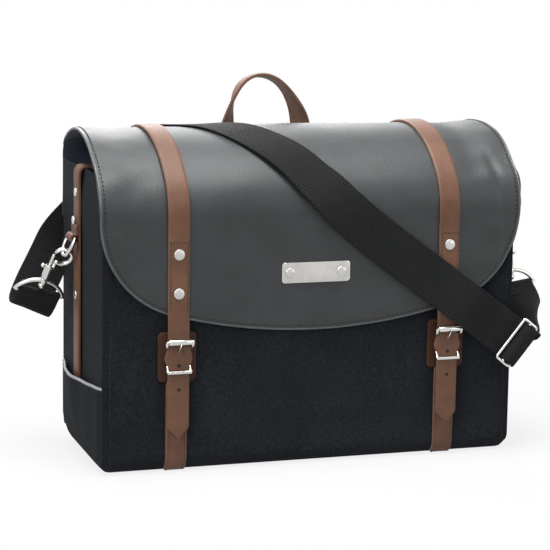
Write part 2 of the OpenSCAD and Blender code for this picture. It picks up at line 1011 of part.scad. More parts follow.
// A band of webbing along a route: a flat section at each point, square to the route
function unit(v) = v / norm(v);
function tangent(route, i) = unit(route[min(i + 1, len(route) - 1)][0] - route[max(i - 1, 0)][0]);
function section(route, i, w, t) =
    let (
        along = tangent(route, i),
        hint = route[i][1],
        side = unit(hint - (hint * along) * along),
        p = route[i][0],
        half_side = side * w / 2,
        half_up = cross(along, side) * t / 2
    )
    [p - half_side - half_up, p + half_side - half_up, p + half_side + half_up, p - half_side + half_up];

module band(route, w, t) {
    n = len(route);
    points = [for (i = [0:n - 1]) each section(route, i, w, t)];
    walls = [
        for (i = [0:n - 2])
            for (k = [0:3])
                let (a = 4 * i + k, b = 4 * i + (k + 1) % 4)
                each [[a, a + 4, b], [b, a + 4, b + 4]]
    ];
    last = 4 * (n - 1);
    ends = [[0, 1, 2], [0, 2, 3], [last, last + 2, last + 1], [last, last + 3, last + 2]];
    polyhedron(points, concat(walls, ends), convexity = 6);
}

module webbing_back() {
    color(webbing_black)
        band(back_route, web_w, web_t);
}

module webbing_front() {
    color(webbing_black)
        band(front_route, web_w, web_t);
}

module webbing_return() {
    color(webbing_black)
        band(return_route, web_w, 2 * web_t);
}

// The slider: a frame of round bars with a middle bar, long bars across the webbing
slider_bar_l = web_w + 5;
module slider() {
    color(nickel)
        translate(slider_at)
            rotate([0, slider_turn, 0]) {
                for (x = [-slider_pitch / 2, 0, slider_pitch / 2])
                    translate([x, 0, 0])
                        cylinder(r = slider_r, h = slider_bar_l, center = true);
                for (s = [-1, 1])
                    translate([0, 0, s * slider_bar_l / 2]) {
                        rod_x(slider_r, slider_pitch);
                        for (side = [-1, 1])
                            translate([side * slider_pitch / 2, 0, 0])
                                sphere(r = slider_r);
                    }
            }
}

// Where each D-ring's wire holds the hook's eye
module at_left_hook() {
    translate([-loop_x - d_ring_drop * sin(left_d_tilt), 0, loop_z - d_ring_drop * cos(left_d_tilt)])
        rotate(left_hook_turn)
            translate([-eye_r, 0, -wire_in_eye])
                children();
}

module at_right_hook() {
    translate([loop_x + d_ring_drop * sin(right_d_tilt), 0, loop_z - d_ring_drop * cos(right_d_tilt)])
        mirror([1, 0, 0])
            rotate(right_hook_turn)
                translate([-eye_r, 0, -wire_in_eye])
                    children();
}

// The hook: an open eye beside the barrel, a shank through the swivel loop, and a ball that keeps it there
eye_end_a = 160;
eye_start_a = -122;
module snap_hook() {
    color(nickel) {
        difference() {
            union() {
                translate([0, 0, barrel_end])
                    cylinder(r = barrel_r, h = barrel_l);
                translate([eye_r, 0, 0])
                    rotate([90, 0, 0])
                        rotate([0, 0, eye_start_a])
                            rotate_extrude(angle = eye_end_a - eye_start_a)
                                translate([eye_r, 0])
                                    circle(r = hook_wire_r);
                translate([eye_r * (1 + cos(eye_start_a)), 0, barrel_top - 2])
                    cylinder(r = hook_wire_r, h = eye_r * sin(eye_start_a) - barrel_top + 2);
            }
            translate([0, 0, barrel_end + 4])
                cylinder(r = bolt_r + 2 * running, h = barrel_l);
            translate([-barrel_r - 1, -bolt_r, bolt_end - bolt_travel - 2])
                cube([barrel_r + 1, 2 * bolt_r, bolt_travel + 20]);
        }
        translate([0, 0, ball_z])
            cylinder(r = shank_r, h = barrel_end - ball_z);
        translate([0, 0, ball_z])
            sphere(r = ball_r);
    }
}

module left_snap_hook() {
    at_left_hook()
        snap_hook();
}

module right_snap_hook() {
    at_right_hook()
        snap_hook();
}

// The bolt closes the eye, and a knob on its side moves it
knob_z = bolt_end + 2;
knob_neck_r = bolt_r - clearance;
module hook_bolt() {
    knob_r = 2;
    knob_reach = barrel_r + 2;
    color(nickel) {
        translate([0, 0, bolt_end])
            cylinder(r = bolt_r, h = bolt_tip - bolt_end);
        translate([0, 0, knob_z])
            rotate([0, -90, 0])
                cylinder(r = knob_neck_r, h = knob_reach);
        translate([0, 0, knob_z])
            rotate([0, -90, 0])
                translate([0, 0, knob_reach - knob_r])
                    cylinder(r1 = knob_r, r2 = 0.8 * knob_r, h = 2 * knob_r);
    }
}

module left_hook_bolt() {
    at_left_hook()
        hook_bolt();
}

module right_hook_bolt() {
    at_right_hook()
        hook_bolt();
}

// The bolt's spring, a sleeve of its outer size between the bolt and the bottom of the barrel's bore
module bolt_spring() {
    spring_z = barrel_end + 4;
    color(board_grey)
        translate([0, 0, spring_z])
            difference() {
                cylinder(r = bolt_r, h = bolt_end - spring_z);
                translate([0, 0, -1])
                    cylinder(r = bolt_r - 0.5, h = barrel_l);
            }
}

module left_bolt_spring() {
    at_left_hook()
        bolt_spring();
}

module right_bolt_spring() {
    at_right_hook()
        bolt_spring();
}

// The swivel loop: a shallow arc over a straight bar, with a boss that the shank turns in
module swivel_loop() {
    color(nickel) {
        difference() {
            union() {
                translate([0, 0, boss_end])
                    cylinder(r = barrel_r, h = boss_h);
                translate([0, 0, loop_top - loop_arc_r])
                    rotate([90, 0, 0])
                        rotate([0, 0, 90 - loop_arc_a])
                            rotate_extrude(angle = 2 * loop_arc_a)
                                translate([loop_arc_r, 0])
                                    circle(r = hook_wire_r);
            }
            translate([0, 0, boss_end - 4])
                cylinder(r = shank_r + running, h = boss_h + 8);
        }
        translate([0, 0, loop_bar])
            rod_x(hook_wire_r + clearance, loop_w + 5);
    }
}

module left_swivel_loop() {
    at_left_hook()
        swivel_loop();
}

module right_swivel_loop() {
    at_right_hook()
        swivel_loop();
}

front_panel();
back_panel();
left_gusset();
right_gusset();
bottom_panel();
lining();
base_board();
back_board();
left_side_pocket();
right_side_pocket();
left_pocket_piping();
right_pocket_piping();
left_side_strap();
right_side_strap();
left_side_rivets();
right_side_rivets();
left_d_ring();
right_d_ring();
left_lower_strap();
right_lower_strap();
left_buckle_patch();
right_buckle_patch();
left_snap_socket();
right_snap_socket();
flap_rear_roll();
flap_rear_lining();
left_strap_anchor();
right_strap_anchor();
handle_tabs();
handle();
flap_shell();
flap_lining();
left_closure_strap();
right_closure_strap();
left_closure_rivets();
right_closure_rivets();
name_plate();
name_plate_rivets();
left_buckle_frame();
right_buckle_frame();
left_buckle_roller();
right_buckle_roller();
left_buckle_prong();
right_buckle_prong();
left_snap_stud();
right_snap_stud();
webbing_back();
webbing_front();
webbing_return();
slider();
left_swivel_loop();
right_swivel_loop();
left_snap_hook();
right_snap_hook();
left_hook_bolt();
right_hook_bolt();
left_bolt_spring();
right_bolt_spring();
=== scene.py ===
"""Messenger bag: canvas body, dark leather flap, brown leather straps, nickel fittings and a webbing strap.

All shapes are worked out in millimetres, in the part's own frame, and become metres when a mesh is made.
"""

import logging
from dataclasses import dataclass, field
from enum import Enum
from typing import Callable, Dict, List, Optional, Sequence, Tuple, Union

import bmesh
import bpy
import numpy as np
from mathutils import Matrix


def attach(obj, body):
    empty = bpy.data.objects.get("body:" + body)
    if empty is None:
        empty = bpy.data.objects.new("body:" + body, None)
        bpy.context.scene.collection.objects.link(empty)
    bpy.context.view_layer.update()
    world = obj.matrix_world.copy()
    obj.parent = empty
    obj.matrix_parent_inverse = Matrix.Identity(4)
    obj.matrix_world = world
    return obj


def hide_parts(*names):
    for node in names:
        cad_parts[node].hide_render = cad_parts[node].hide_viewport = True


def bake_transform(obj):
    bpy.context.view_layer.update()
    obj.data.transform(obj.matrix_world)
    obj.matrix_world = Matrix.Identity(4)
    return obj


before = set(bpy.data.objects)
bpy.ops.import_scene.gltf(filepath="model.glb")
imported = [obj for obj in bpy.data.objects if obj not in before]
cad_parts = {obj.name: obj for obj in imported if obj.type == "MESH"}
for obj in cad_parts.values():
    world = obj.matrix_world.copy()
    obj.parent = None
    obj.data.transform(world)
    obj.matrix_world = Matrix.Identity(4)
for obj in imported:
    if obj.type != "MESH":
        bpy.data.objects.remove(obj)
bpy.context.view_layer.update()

LOG = logging.getLogger("messenger_bag")
Array = np.ndarray
Pair = Tuple[float, float]
Point = Tuple[float, float, float]
Colour = Tuple[float, float, float]
Rows = Sequence[Sequence[float]]
MM = 0.001
PATTERN_SCALE = 10
"""A piece's pattern coordinates are millimetres times MM times this, so one unit is 100 mm."""
WEAVE_PITCH, RIB_PITCH, RIB_THREAD_PITCH = 0.011, 0.022, 0.017
"""Pitches of the weave, of the webbing's ribs and of its lengthwise threads, in pattern units."""
SMOOTH_ANGLE = 40.0
"""Largest angle in degrees between faces that is shaded smooth."""
WELD_DISTANCE = 1e-6


class Side(Enum):
    """The left and right of the bag, seen from the front."""

    LEFT = -1
    RIGHT = 1

    @property
    def word(self) -> str:
        """The side's name as the CAD nodes use it."""
        return self.name.lower()


class Relief(Enum):
    """The kind of fine relief that a finish carries."""

    GRAIN = "grain"
    WEAVE = "weave"
    RIB = "rib"
    POLISH = "polish"


def unit(v: Array) -> Array:
    """Vectors scaled to length one along the last axis."""
    v = np.asarray(v, float)
    return v / np.maximum(np.linalg.norm(v, axis=-1, keepdims=True), 1e-12)


def smoothstep(x: Array, low: float, high: float) -> Array:
    """Cubic ramp from 0 at low to 1 at high."""
    t = np.clip((np.asarray(x, float) - low) / (high - low), 0.0, 1.0)
    return t * t * (3.0 - 2.0 * t)


def bump(x: Array, centre: float, spread: float) -> Array:
    """A bell of height one about centre."""
    return np.exp(-(((np.asarray(x, float) - centre) / spread) ** 2))


def ripple(u: Array, v: Array, wave: float, seed: int, waves: int = 7) -> Array:
    """Soft unevenness of about unit height: a sum of plane waves with seeded directions, lengths and phases.

    Args:
        u: First coordinate in mm.
        v: Second coordinate in mm.
        wave: Mean wavelength in mm.
        seed: Seed of the directions and phases.
        waves: Number of waves.

    Returns:
        Heights, of the shape of u and v together.
    """
    rng = np.random.default_rng(seed)
    angle = rng.uniform(0, 2 * np.pi, waves)
    length = wave * rng.uniform(0.6, 1.7, waves)
    phase = rng.uniform(0, 2 * np.pi, waves)
    u, v = np.broadcast_arrays(u, v)
    along = u[..., None] * np.cos(angle) + v[..., None] * np.sin(angle)
    return np.sin(2 * np.pi * along / length + phase).sum(-1) / np.sqrt(waves)


def through(points: Rows, count: int) -> Array:
    """Natural cubic spline through points, by chord length, sampled evenly in that length.

    Args:
        points: Rows of any number of coordinates; the first three, or all if fewer, give the chord length.
        count: Number of samples.

    Returns:
        The samples, one row each.
    """
    p = np.asarray(points, float)
    step = np.linalg.norm(np.diff(p[:, :3], axis=0), axis=1)
    t = np.concatenate([[0.0], np.cumsum(step)])
    n = len(p)
    a = np.eye(n)
    b = np.zeros_like(p)
    row = np.arange(1, n - 1)
    a[row, row - 1] = step[:-1]
    a[row, row] = 2 * (step[:-1] + step[1:])
    a[row, row + 1] = step[1:]
    b[1:-1] = 6 * (np.diff(p, axis=0)[1:] / step[1:, None] - np.diff(p, axis=0)[:-1] / step[:-1, None])
    m = np.linalg.solve(a, b)
    s = np.linspace(0, t[-1], count)
    k = np.clip(np.searchsorted(t, s, "right") - 1, 0, n - 2)
    h = step[k][:, None]
    left = (t[k + 1] - s)[:, None]
    right = (s - t[k])[:, None]
    curve = m[k] * left**3 / (6 * h) + m[k + 1] * right**3 / (6 * h)
    return curve + (p[k] / h - m[k] * h / 6) * left + (p[k + 1] / h - m[k + 1] * h / 6) * right


def arc(cx: float, cy: float, r: float, a0: float, a1: float, count: int) -> Array:
    """Points of a circular arc in a plane, angles in degrees."""
    a = np.radians(np.linspace(a0, a1, count))
    return np.stack([cx + r * np.cos(a), cy + r * np.sin(a)], -1)


def run_of(path: Array) -> Array:
    """Distance along a path at each of its points."""
    return np.concatenate([[0], np.cumsum(np.linalg.norm(np.diff(path, axis=0), axis=1))])


def on_plane(flat: Array, axis: int, at: float = 0.0) -> Array:
    """Flat points laid on a coordinate plane: the missing coordinate is put in at the axis's place."""
    return np.insert(np.asarray(flat, float), axis, at, axis=1)


def rounded_rectangle(half_w: float, half_h: float, r: float, count: int) -> Array:
    """Loop of a rectangle with round corners: four quarter circles, anticlockwise from the right end.

    Args:
        half_w: Half its width.
        half_h: Half its height.
        r: Radius of the corners.
        count: Points of each quarter circle.

    Returns:
        Flat points, without the closing one.
    """
    corners = ((1, 1, 0), (-1, 1, 90), (-1, -1, 180), (1, -1, 270))
    x, y = half_w - r, half_h - r
    return np.concatenate([arc(i * x, j * y, r, a, a + 90, count) for i, j, a in corners])


def turn(degrees: float, axis: int) -> Array:
    """Rotation matrix about a coordinate axis.

    Args:
        degrees: Angle.
        axis: 0, 1 or 2 for X, Y or Z.

    Returns:
        A 3 by 3 matrix.
    """
    c, s = np.cos(np.radians(degrees)), np.sin(np.radians(degrees))
    m = np.eye(3)
    i, j = (axis + 1) % 3, (axis + 2) % 3
    m[i, i], m[j, j] = c, c
    m[i, j], m[j, i] = -s, s
    return m


@dataclass
class Shape:
    """Points in mm, four-sided faces, and flat pattern coordinates in mm for each point."""

    points: Array
    quads: Array
    uv: Array

    def moved(self, matrix: Optional[Array] = None, offset: Sequence[float] = (0, 0, 0)) -> "Shape":
        """The shape turned by matrix and shifted by offset; a mirror turns its faces round.

        Args:
            matrix: Rotation or mirror, or None.
            offset: Shift in mm.

        Returns:
            The new shape.
        """
        points = self.points if matrix is None else self.points @ np.asarray(matrix, float).T
        quads = self.quads
        if matrix is not None and np.linalg.det(matrix) < 0:
            quads = quads[:, ::-1]
        return Shape(points + np.asarray(offset, float), quads, self.uv)


def merged(shapes: Sequence[Shape]) -> Shape:
    """Several shapes as one.

    Args:
        shapes: The shapes, in order.

    Returns:
        One shape with all their points and faces.
    """
    start = np.cumsum([0] + [len(s.points) for s in shapes[:-1]])
    return Shape(
        np.concatenate([s.points for s in shapes]),
        np.concatenate([s.quads + k for s, k in zip(shapes, start)]),
        np.concatenate([s.uv for s in shapes]),
    )


def grid_quads(nu: int, nv: int, wrap_u: bool = False) -> Array:
    """Faces of an nu by nv grid of points, stored row after row, closed along u if asked.

    Args:
        nu: Rows.
        nv: Points of each row.
        wrap_u: Whether the last row joins the first.

    Returns:
        Four point numbers for each face.
    """
    i, j = np.meshgrid(np.arange(nu if wrap_u else nu - 1), np.arange(nv - 1), indexing="ij")
    k = (i + 1) % nu
    return np.stack([i * nv + j, k * nv + j, k * nv + j + 1, i * nv + j + 1], -1).reshape(-1, 4)


def surface_normals(p: Array) -> Array:
    """Unit normals of a grid of points: the cross product of its two finite differences."""
    return unit(np.cross(np.gradient(p, axis=0), np.gradient(p, axis=1)))


def lengths_uv(p: Array) -> Array:
    """Pattern coordinates of a grid of points: distances along its middle row and column.

    Args:
        p: Grid of points (nu, nv, 3).

    Returns:
        Coordinates about the middle, (nu, nv, 2).
    """
    nu, nv = p.shape[:2]
    u, v = run_of(p[:, nv // 2]), run_of(p[nu // 2])
    return np.stack(np.meshgrid(u - u.mean(), v - v.mean(), indexing="ij"), -1)


def slab(p: Array, thickness: float, uv: Optional[Array] = None, round_rim: float = 0.35) -> Shape:
    """A sheet of leather or cloth: the grid p is its outer face, the inner face lies a thickness behind it along
    the normals, and a rim with a rounded middle line joins the two.

    Args:
        p: Grid of points (nu, nv, 3); it faces along the cross product of its u and v differences.
        thickness: Thickness in mm.
        uv: Pattern coordinates (nu, nv, 2), or None for lengths along the grid.
        round_rim: How far the rim stands out at its middle, as a share of the thickness.

    Returns:
        The closed shape.
    """
    nu, nv = p.shape[:2]
    n = surface_normals(p)
    inner = p - n * thickness
    uv = lengths_uv(p) if uv is None else uv
    index = np.arange(nu * nv).reshape(nu, nv)
    ring = np.concatenate([index[:-1, 0], index[-1, :-1], index[:0:-1, -1], index[0, :0:-1]])
    near_i = np.clip(np.arange(nu), 1, nu - 2)
    near_j = np.clip(np.arange(nv), 1, nv - 2)
    inside = p[near_i][:, near_j].reshape(-1, 3)
    flat, flat_in, flat_uv = p.reshape(-1, 3), inner.reshape(-1, 3), uv.reshape(-1, 2)
    out = unit(flat[ring] - inside[ring])
    middle = (flat[ring] + flat_in[ring]) / 2 + out * thickness * round_rim
    count, m = nu * nv, len(ring)
    rim = 2 * count + np.arange(m)
    after, rim_after = np.roll(ring, -1), np.roll(rim, -1)
    top = grid_quads(nu, nv)
    quads = [
        top,
        top[:, ::-1] + count,
        np.stack([ring, rim, rim_after, after], -1),
        np.stack([rim, ring + count, after + count, rim_after], -1),
    ]
    points = np.concatenate([flat, flat_in, middle])
    return Shape(points, np.concatenate(quads), np.concatenate([flat_uv, flat_uv, flat_uv[ring]]))


def along_frames(path: Array, closed: bool = False) -> Tuple[Array, Array, Array]:
    """Tangents of a path and two directions square to them, from one helper square to the path's mean plane.

    Args:
        path: Points of the path.
        closed: Whether its end meets its start.

    Returns:
        Tangents and both square directions, one row for each point.
    """
    ends = (np.roll(path, -1, 0) - np.roll(path, 1, 0)) if closed else np.gradient(path, axis=0)
    t = unit(ends)
    helper = np.linalg.svd(path - path.mean(0), full_matrices=False)[2][-1]
    if np.abs(t @ helper).max() > 0.98:
        helper = np.linalg.svd(t, full_matrices=True)[2][-1]
    a = unit(helper - (t @ helper)[:, None] * t)
    return t, a, np.cross(t, a)


def rod(path: Array, radius: Union[float, Array], sides: int = 14, closed: bool = False) -> Shape:
    """A round rod: circles of the given radius square to a path, with flat fans at open ends.

    Args:
        path: Points of the middle line.
        radius: One radius, or one for each point.
        sides: Points of each circle.
        closed: Whether the path's end meets its start.

    Returns:
        The closed shape.
    """
    path = np.asarray(path, float)
    n = len(path)
    _, a, b = along_frames(path, closed)
    r = np.broadcast_to(np.asarray(radius, float), (n,))
    if not closed:
        path = np.concatenate([path[:1], path, path[-1:]])
        a, b = np.concatenate([a[:1], a, a[-1:]]), np.concatenate([b[:1], b, b[-1:]])
        r = np.concatenate([[0.0], r, [0.0]])
        n += 2
    angle = np.linspace(0, 2 * np.pi, sides, endpoint=False)
    circle = np.cos(angle)[None, :, None] * a[:, None] + np.sin(angle)[None, :, None] * b[:, None]
    points = path[:, None] + r[:, None, None] * circle
    i, j = np.meshgrid(np.arange(n if closed else n - 1), np.arange(sides), indexing="ij")
    k, l = (i + 1) % n, (j + 1) % sides
    quads = np.stack([i * sides + j, i * sides + l, k * sides + l, k * sides + j], -1).reshape(-1, 4)
    uv = np.stack(np.meshgrid(run_of(path), angle * r.max(), indexing="ij"), -1)
    return Shape(points.reshape(-1, 3), quads, uv.reshape(-1, 2))


def lathe(profile: Rows, sides: int = 32) -> Shape:
    """A turned shape about Z: the profile's (radius, z) points carried round, closed where they meet the axis.

    Args:
        profile: Points from the lower end on the axis to the upper end on the axis, or a closed loop.
        sides: Points round.

    Returns:
        The shape.
    """
    q = np.asarray(profile, float)
    angle = np.linspace(0, 2 * np.pi, sides, endpoint=False)
    ring = np.stack([np.cos(angle), np.sin(angle)], -1)
    points = np.concatenate(
        [ring[:, None] * q[None, :, :1], np.broadcast_to(q[None, :, 1:], (sides, len(q), 1))], -1
    )
    uv = np.stack(np.meshgrid(angle * q[:, 0].max(), q[:, 1], indexing="ij"), -1)
    return Shape(points.reshape(-1, 3), grid_quads(sides, len(q), True), uv.reshape(-1, 2))


def toward(axis: Sequence[float]) -> Array:
    """A rotation that takes +Z to the given direction.

    Args:
        axis: The direction.

    Returns:
        A 3 by 3 matrix.
    """
    z = unit(np.asarray(axis, float))
    helper = np.array([1.0, 0, 0]) if abs(z[0]) < 0.9 else np.array([0, 1.0, 0])
    x = unit(np.cross(helper, z))
    return np.stack([x, np.cross(z, x), z], -1)


def resampled(path: Array, pitch: float) -> Array:
    """Points of a path at about the given spacing.

    Args:
        path: Rows of any number of coordinates.
        pitch: The spacing.

    Returns:
        The new rows.
    """
    s = run_of(path)
    at = np.linspace(0, s[-1], max(2, int(round(s[-1] / pitch)) + 1))
    return np.stack([np.interp(at, s, path[:, k]) for k in range(path.shape[1])], -1)


@dataclass(frozen=True)
class Thread:
    """How a row is sewn: distance between stitches, length of a stitch and radius of the thread, in mm."""

    pitch: float
    length: float
    radius: float


FLAP_SEAM = Thread(4.2, 3.0, 0.7)
CANVAS_SEAM = Thread(3.6, 2.6, 0.4)
POCKET_SEAM = Thread(3.2, 2.3, 0.3)
STRAP_SEAM = Thread(3.4, 2.4, 0.42)
LOWER_SEAM = Thread(3.4, 2.4, 0.3)
LEATHER_SEAM = Thread(3.0, 2.2, 0.3)
HANDLE_SEAM = Thread(3.2, 2.3, 0.2)


def stitches(path: Array, normal: Array, thread: Thread) -> Shape:
    """A row of stitches: spindles of six sides laid along a path, half sunk, with ends that dip into the sheet.

    Args:
        path: Points on the sheet's face.
        normal: The face's outward direction, one vector or one for each point.
        thread: How the row is sewn.

    Returns:
        All stitches as one shape.
    """
    path = np.asarray(path, float)
    normal = np.broadcast_to(np.asarray(normal, float), path.shape)
    both = resampled(np.concatenate([path, normal], 1), thread.pitch)
    points, out = both[:, :3], unit(both[:, 3:])
    t = unit(np.gradient(points, axis=0))
    side = unit(np.cross(out, t))
    station = np.array([-0.5, -0.36, 0.0, 0.36, 0.5]) * thread.length
    thick = np.array([0.0, 0.85, 1.0, 0.85, 0.0]) * thread.radius
    sink = np.array([-0.9, 0.0, 0.25, 0.0, -0.9]) * thread.radius
    rings, sides = len(station), 6
    angle = np.linspace(0, 2 * np.pi, sides, endpoint=False)
    beside, above = thick[:, None] * np.cos(angle), thick[:, None] * np.sin(angle) + sink[:, None]
    local = np.stack([np.broadcast_to(station[:, None], beside.shape), beside, above], -1).reshape(-1, 3)
    basis = np.stack([t, side, out], 1)
    all_points = points[:, None] + np.einsum("mk,nkc->nmc", local, basis)
    i, j = np.meshgrid(np.arange(rings - 1), np.arange(sides), indexing="ij")
    k = (j + 1) % sides
    here, there = i * sides, (i + 1) * sides
    one = np.stack([here + j, here + k, there + k, there + j], -1).reshape(-1, 4)
    quads = (one[None] + rings * sides * np.arange(len(points))[:, None, None]).reshape(-1, 4)
    uv = np.tile(local[:, :2], (len(points), 1))
    return Shape(all_points.reshape(-1, 3), quads, uv)


@dataclass
class Sock:
    """A shader socket that takes part in Python arithmetic; each operation adds a Math node."""

    graph: "Graph"
    socket: bpy.types.NodeSocket

    def math(self, operation: str, *values: Union["Sock", float]) -> "Sock":
        """A Math node of the given operation on the values in order."""
        return self.graph.node("ShaderNodeMath", {"operation": operation}, dict(enumerate(values)))

    def __add__(self, other: Union["Sock", float]) -> "Sock":
        """Sum."""
        return self.math("ADD", self, other)

    __radd__ = __add__

    def __sub__(self, other: Union["Sock", float]) -> "Sock":
        """Difference."""
        return self.math("SUBTRACT", self, other)

    def __rsub__(self, other: float) -> "Sock":
        """Difference from a number."""
        return self.math("SUBTRACT", other, self)

    def __mul__(self, other: Union["Sock", float]) -> "Sock":
        """Product."""
        return self.math("MULTIPLY", self, other)

    __rmul__ = __mul__

    def sine(self) -> "Sock":
        """Sine of the value."""
        return self.math("SINE", self)

    def span(self, low: float, high: float, to_low: float = 0.0, to_high: float = 1.0) -> "Sock":
        """The value carried from one range to another, held at its ends.

        Args:
            low: Start of the first range.
            high: Its end.
            to_low: What low becomes.
            to_high: What high becomes.

        Returns:
            The new value.
        """
        ends = {"From Min": low, "From Max": high, "To Min": to_low, "To Max": to_high}
        return self.graph.node("ShaderNodeMapRange", {}, {"Value": self, **ends})


class Graph:
    """The node tree of one material."""

    def __init__(self, name: str) -> None:
        """An empty material with a Principled shader.

        Args:
            name: Name of the material.
        """
        self.material = bpy.data.materials.new(name)
        self.material.use_nodes = True
        self.tree = self.material.node_tree
        self.shader = self.tree.nodes["Principled BSDF"]

    @classmethod
    def of_world(cls, world: bpy.types.World) -> "Graph":
        """The node tree of a world, with its background as the shader.

        Args:
            world: The world.

        Returns:
            A graph without a material.
        """
        g = cls.__new__(cls)
        g.tree = world.node_tree
        g.shader = g.tree.nodes["Background"]
        return g

    def node(
        self, kind: str, settings: Dict[str, object], inputs: Dict[Union[str, int], object],
        output: Union[str, int] = 0,
    ) -> Sock:
        """Any node: its settings are set first, then its inputs get values or links.

        Args:
            kind: The node's type.
            settings: Properties such as a Math node's operation.
            inputs: Values or sockets by input name or number.
            output: The output that is returned.

        Returns:
            The output socket.
        """
        made = self.tree.nodes.new(kind)
        for key, value in settings.items():
            setattr(made, key, value)
        for key, value in inputs.items():
            if isinstance(value, Sock):
                self.tree.links.new(value.socket, made.inputs[key])
            else:
                made.inputs[key].default_value = value
        return Sock(self, made.outputs[output])

    def place(self) -> Sock:
        """Object coordinates."""
        return self.node("ShaderNodeTexCoord", {}, {}, "Object")

    def pattern(self) -> Sock:
        """The piece's own flat pattern coordinates."""
        return self.node("ShaderNodeUVMap", {"uv_map": "pattern"}, {})

    def axes(self, vector: Sock) -> List[Sock]:
        """The three numbers of a vector."""
        first = self.node("ShaderNodeSeparateXYZ", {}, {0: vector})
        return [Sock(self, s) for s in first.socket.node.outputs]

    def noise(self, vector: Sock, scale: float, detail: float = 3.0, rough: float = 0.55) -> Sock:
        """Cloudy noise from 0 to 1."""
        inputs = {"Vector": vector, "Scale": scale, "Detail": detail, "Roughness": rough}
        return self.node("ShaderNodeTexNoise", {}, inputs)

    def cells(self, vector: Sock, scale: float) -> Sock:
        """Distance to the nearest of scattered points."""
        inputs = {"Vector": vector, "Scale": scale, "Smoothness": 0.6}
        return self.node("ShaderNodeTexVoronoi", {"feature": "SMOOTH_F1"}, inputs)

    def mix(self, factor: Sock, low: Colour, high: Colour) -> Sock:
        """One colour carried over to another; a colour Mix node's inputs are 6 and 7, and its output is 2."""
        inputs = {0: factor, 6: (*low, 1.0), 7: (*high, 1.0)}
        return self.node("ShaderNodeMix", {"data_type": "RGBA", "clamp_factor": True}, inputs, 2)

    def set(self, socket: str, value: object) -> None:
        """Gives the shader's input a value or a link.

        Args:
            socket: Name of the input.
            value: A socket, number or colour.
        """
        if isinstance(value, Sock):
            self.tree.links.new(value.socket, self.shader.inputs[socket])
        else:
            self.shader.inputs[socket].default_value = value

    def relief(self, height: Sock, distance: float) -> None:
        """Fine relief in metres on the shader's normal."""
        inputs = {"Strength": 1.0, "Distance": distance, "Height": height}
        self.set("Normal", self.node("ShaderNodeBump", {}, inputs, "Normal"))


@dataclass(frozen=True)
class Finish:
    """One material: two tones, range of roughness, relief with its depth in metres, and gloss.

    cloud is the scale of the uneven patches, and woven is the relief's share in the wear between both tones.
    """

    name: str
    slot: str
    tone: Colour
    worn: Colour
    rough: Pair
    relief: Relief
    depth: float
    cloud: float = 18.0
    metal: float = 0.0
    sheen: float = 0.0
    specular: float = 0.5
    woven: float = 0.35

    def material(self) -> bpy.types.Material:
        """The finish as a Blender material, made once.

        Returns:
            The material.
        """
        found = bpy.data.materials.get(self.name)
        if found:
            return found
        g = Graph(self.name)
        place, flat = g.place(), g.pattern()
        cloud = g.noise(place, self.cloud, 4.0, 0.6)
        fine = g.noise(place, 900.0, 2.0)
        maker: Dict[Relief, Callable[[Graph, Sock, Sock], Tuple[Sock, Sock]]] = {
            Relief.GRAIN: self._grain,
            Relief.WEAVE: self._weave,
            Relief.RIB: self._rib,
            Relief.POLISH: self._polish,
        }
        height, light = maker[self.relief](g, place, flat)
        wear = cloud.span(0.35, 0.72) * (1 - self.woven) + light * self.woven + (fine - 0.5) * 0.12
        g.set("Base Color", g.mix(wear.span(0.0, 1.0), self.tone, self.worn))
        g.set("Roughness", (cloud * 0.6 + fine * 0.4).span(0.25, 0.75, *self.rough))
        g.set("Metallic", self.metal)
        g.set("Specular IOR Level", self.specular)
        if self.sheen:
            g.set("Sheen Weight", self.sheen)
            g.set("Sheen Roughness", 0.6)
        g.relief(height, self.depth)
        return g.material

    def _grain(self, g: Graph, place: Sock, _: Sock) -> Tuple[Sock, Sock]:
        """Leather grain: small cells pulled about by noise, with faint long creases.

        Args:
            g: The node tree.
            place: Object coordinates.
            _: Pattern coordinates, not used here.

        Returns:
            Height of the relief, and the share of the worn tone.
        """
        cells = g.cells(place, 620.0)
        pores = g.noise(place, 1500.0, 2.0)
        crease = g.noise(place, 55.0, 5.0, 0.65)
        return cells * 0.55 + pores * 0.25 + crease * 0.6, crease.span(0.4, 0.7)

    def _weave(self, g: Graph, place: Sock, flat: Sock) -> Tuple[Sock, Sock]:
        """Plain weave: product of two thread waves, with slubs.

        Args:
            g: The node tree.
            place: Object coordinates.
            flat: Pattern coordinates.

        Returns:
            Height of the relief, and the share of the worn tone.
        """
        x, y, _ = g.axes(flat)
        warp = (x * (2 * np.pi / WEAVE_PITCH)).sine()
        weft = (y * (2 * np.pi / WEAVE_PITCH)).sine()
        slub = g.noise(place, 420.0, 4.0, 0.7)
        return warp * weft * 0.5 + slub * 0.8, slub.span(0.36, 0.66)

    def _rib(self, g: Graph, place: Sock, flat: Sock) -> Tuple[Sock, Sock]:
        """Strap webbing: cross ribs, a little uneven, broken by the lengthwise threads.

        Args:
            g: The node tree.
            place: Object coordinates.
            flat: Pattern coordinates.

        Returns:
            Height of the relief, and the share of the worn tone.
        """
        x, y, _ = g.axes(flat)
        fuzz = g.noise(place, 700.0, 2.0)
        rib = ((x * (2 * np.pi / RIB_PITCH)) + g.noise(place, 90.0) * 2.4).sine()
        thread = (y * (2 * np.pi / RIB_THREAD_PITCH)).sine()
        return rib * 0.6 + rib * thread * 0.2 + fuzz * 0.4, (rib * 0.5 + 0.5) * 0.7 + fuzz * 0.3

    def _polish(self, g: Graph, place: Sock, _: Sock) -> Tuple[Sock, Sock]:
        """Polished plate: faint scratches and cast unevenness."""
        scratch = g.noise(place, 160.0, 6.0, 0.7)
        return scratch, scratch.span(0.5, 0.8)


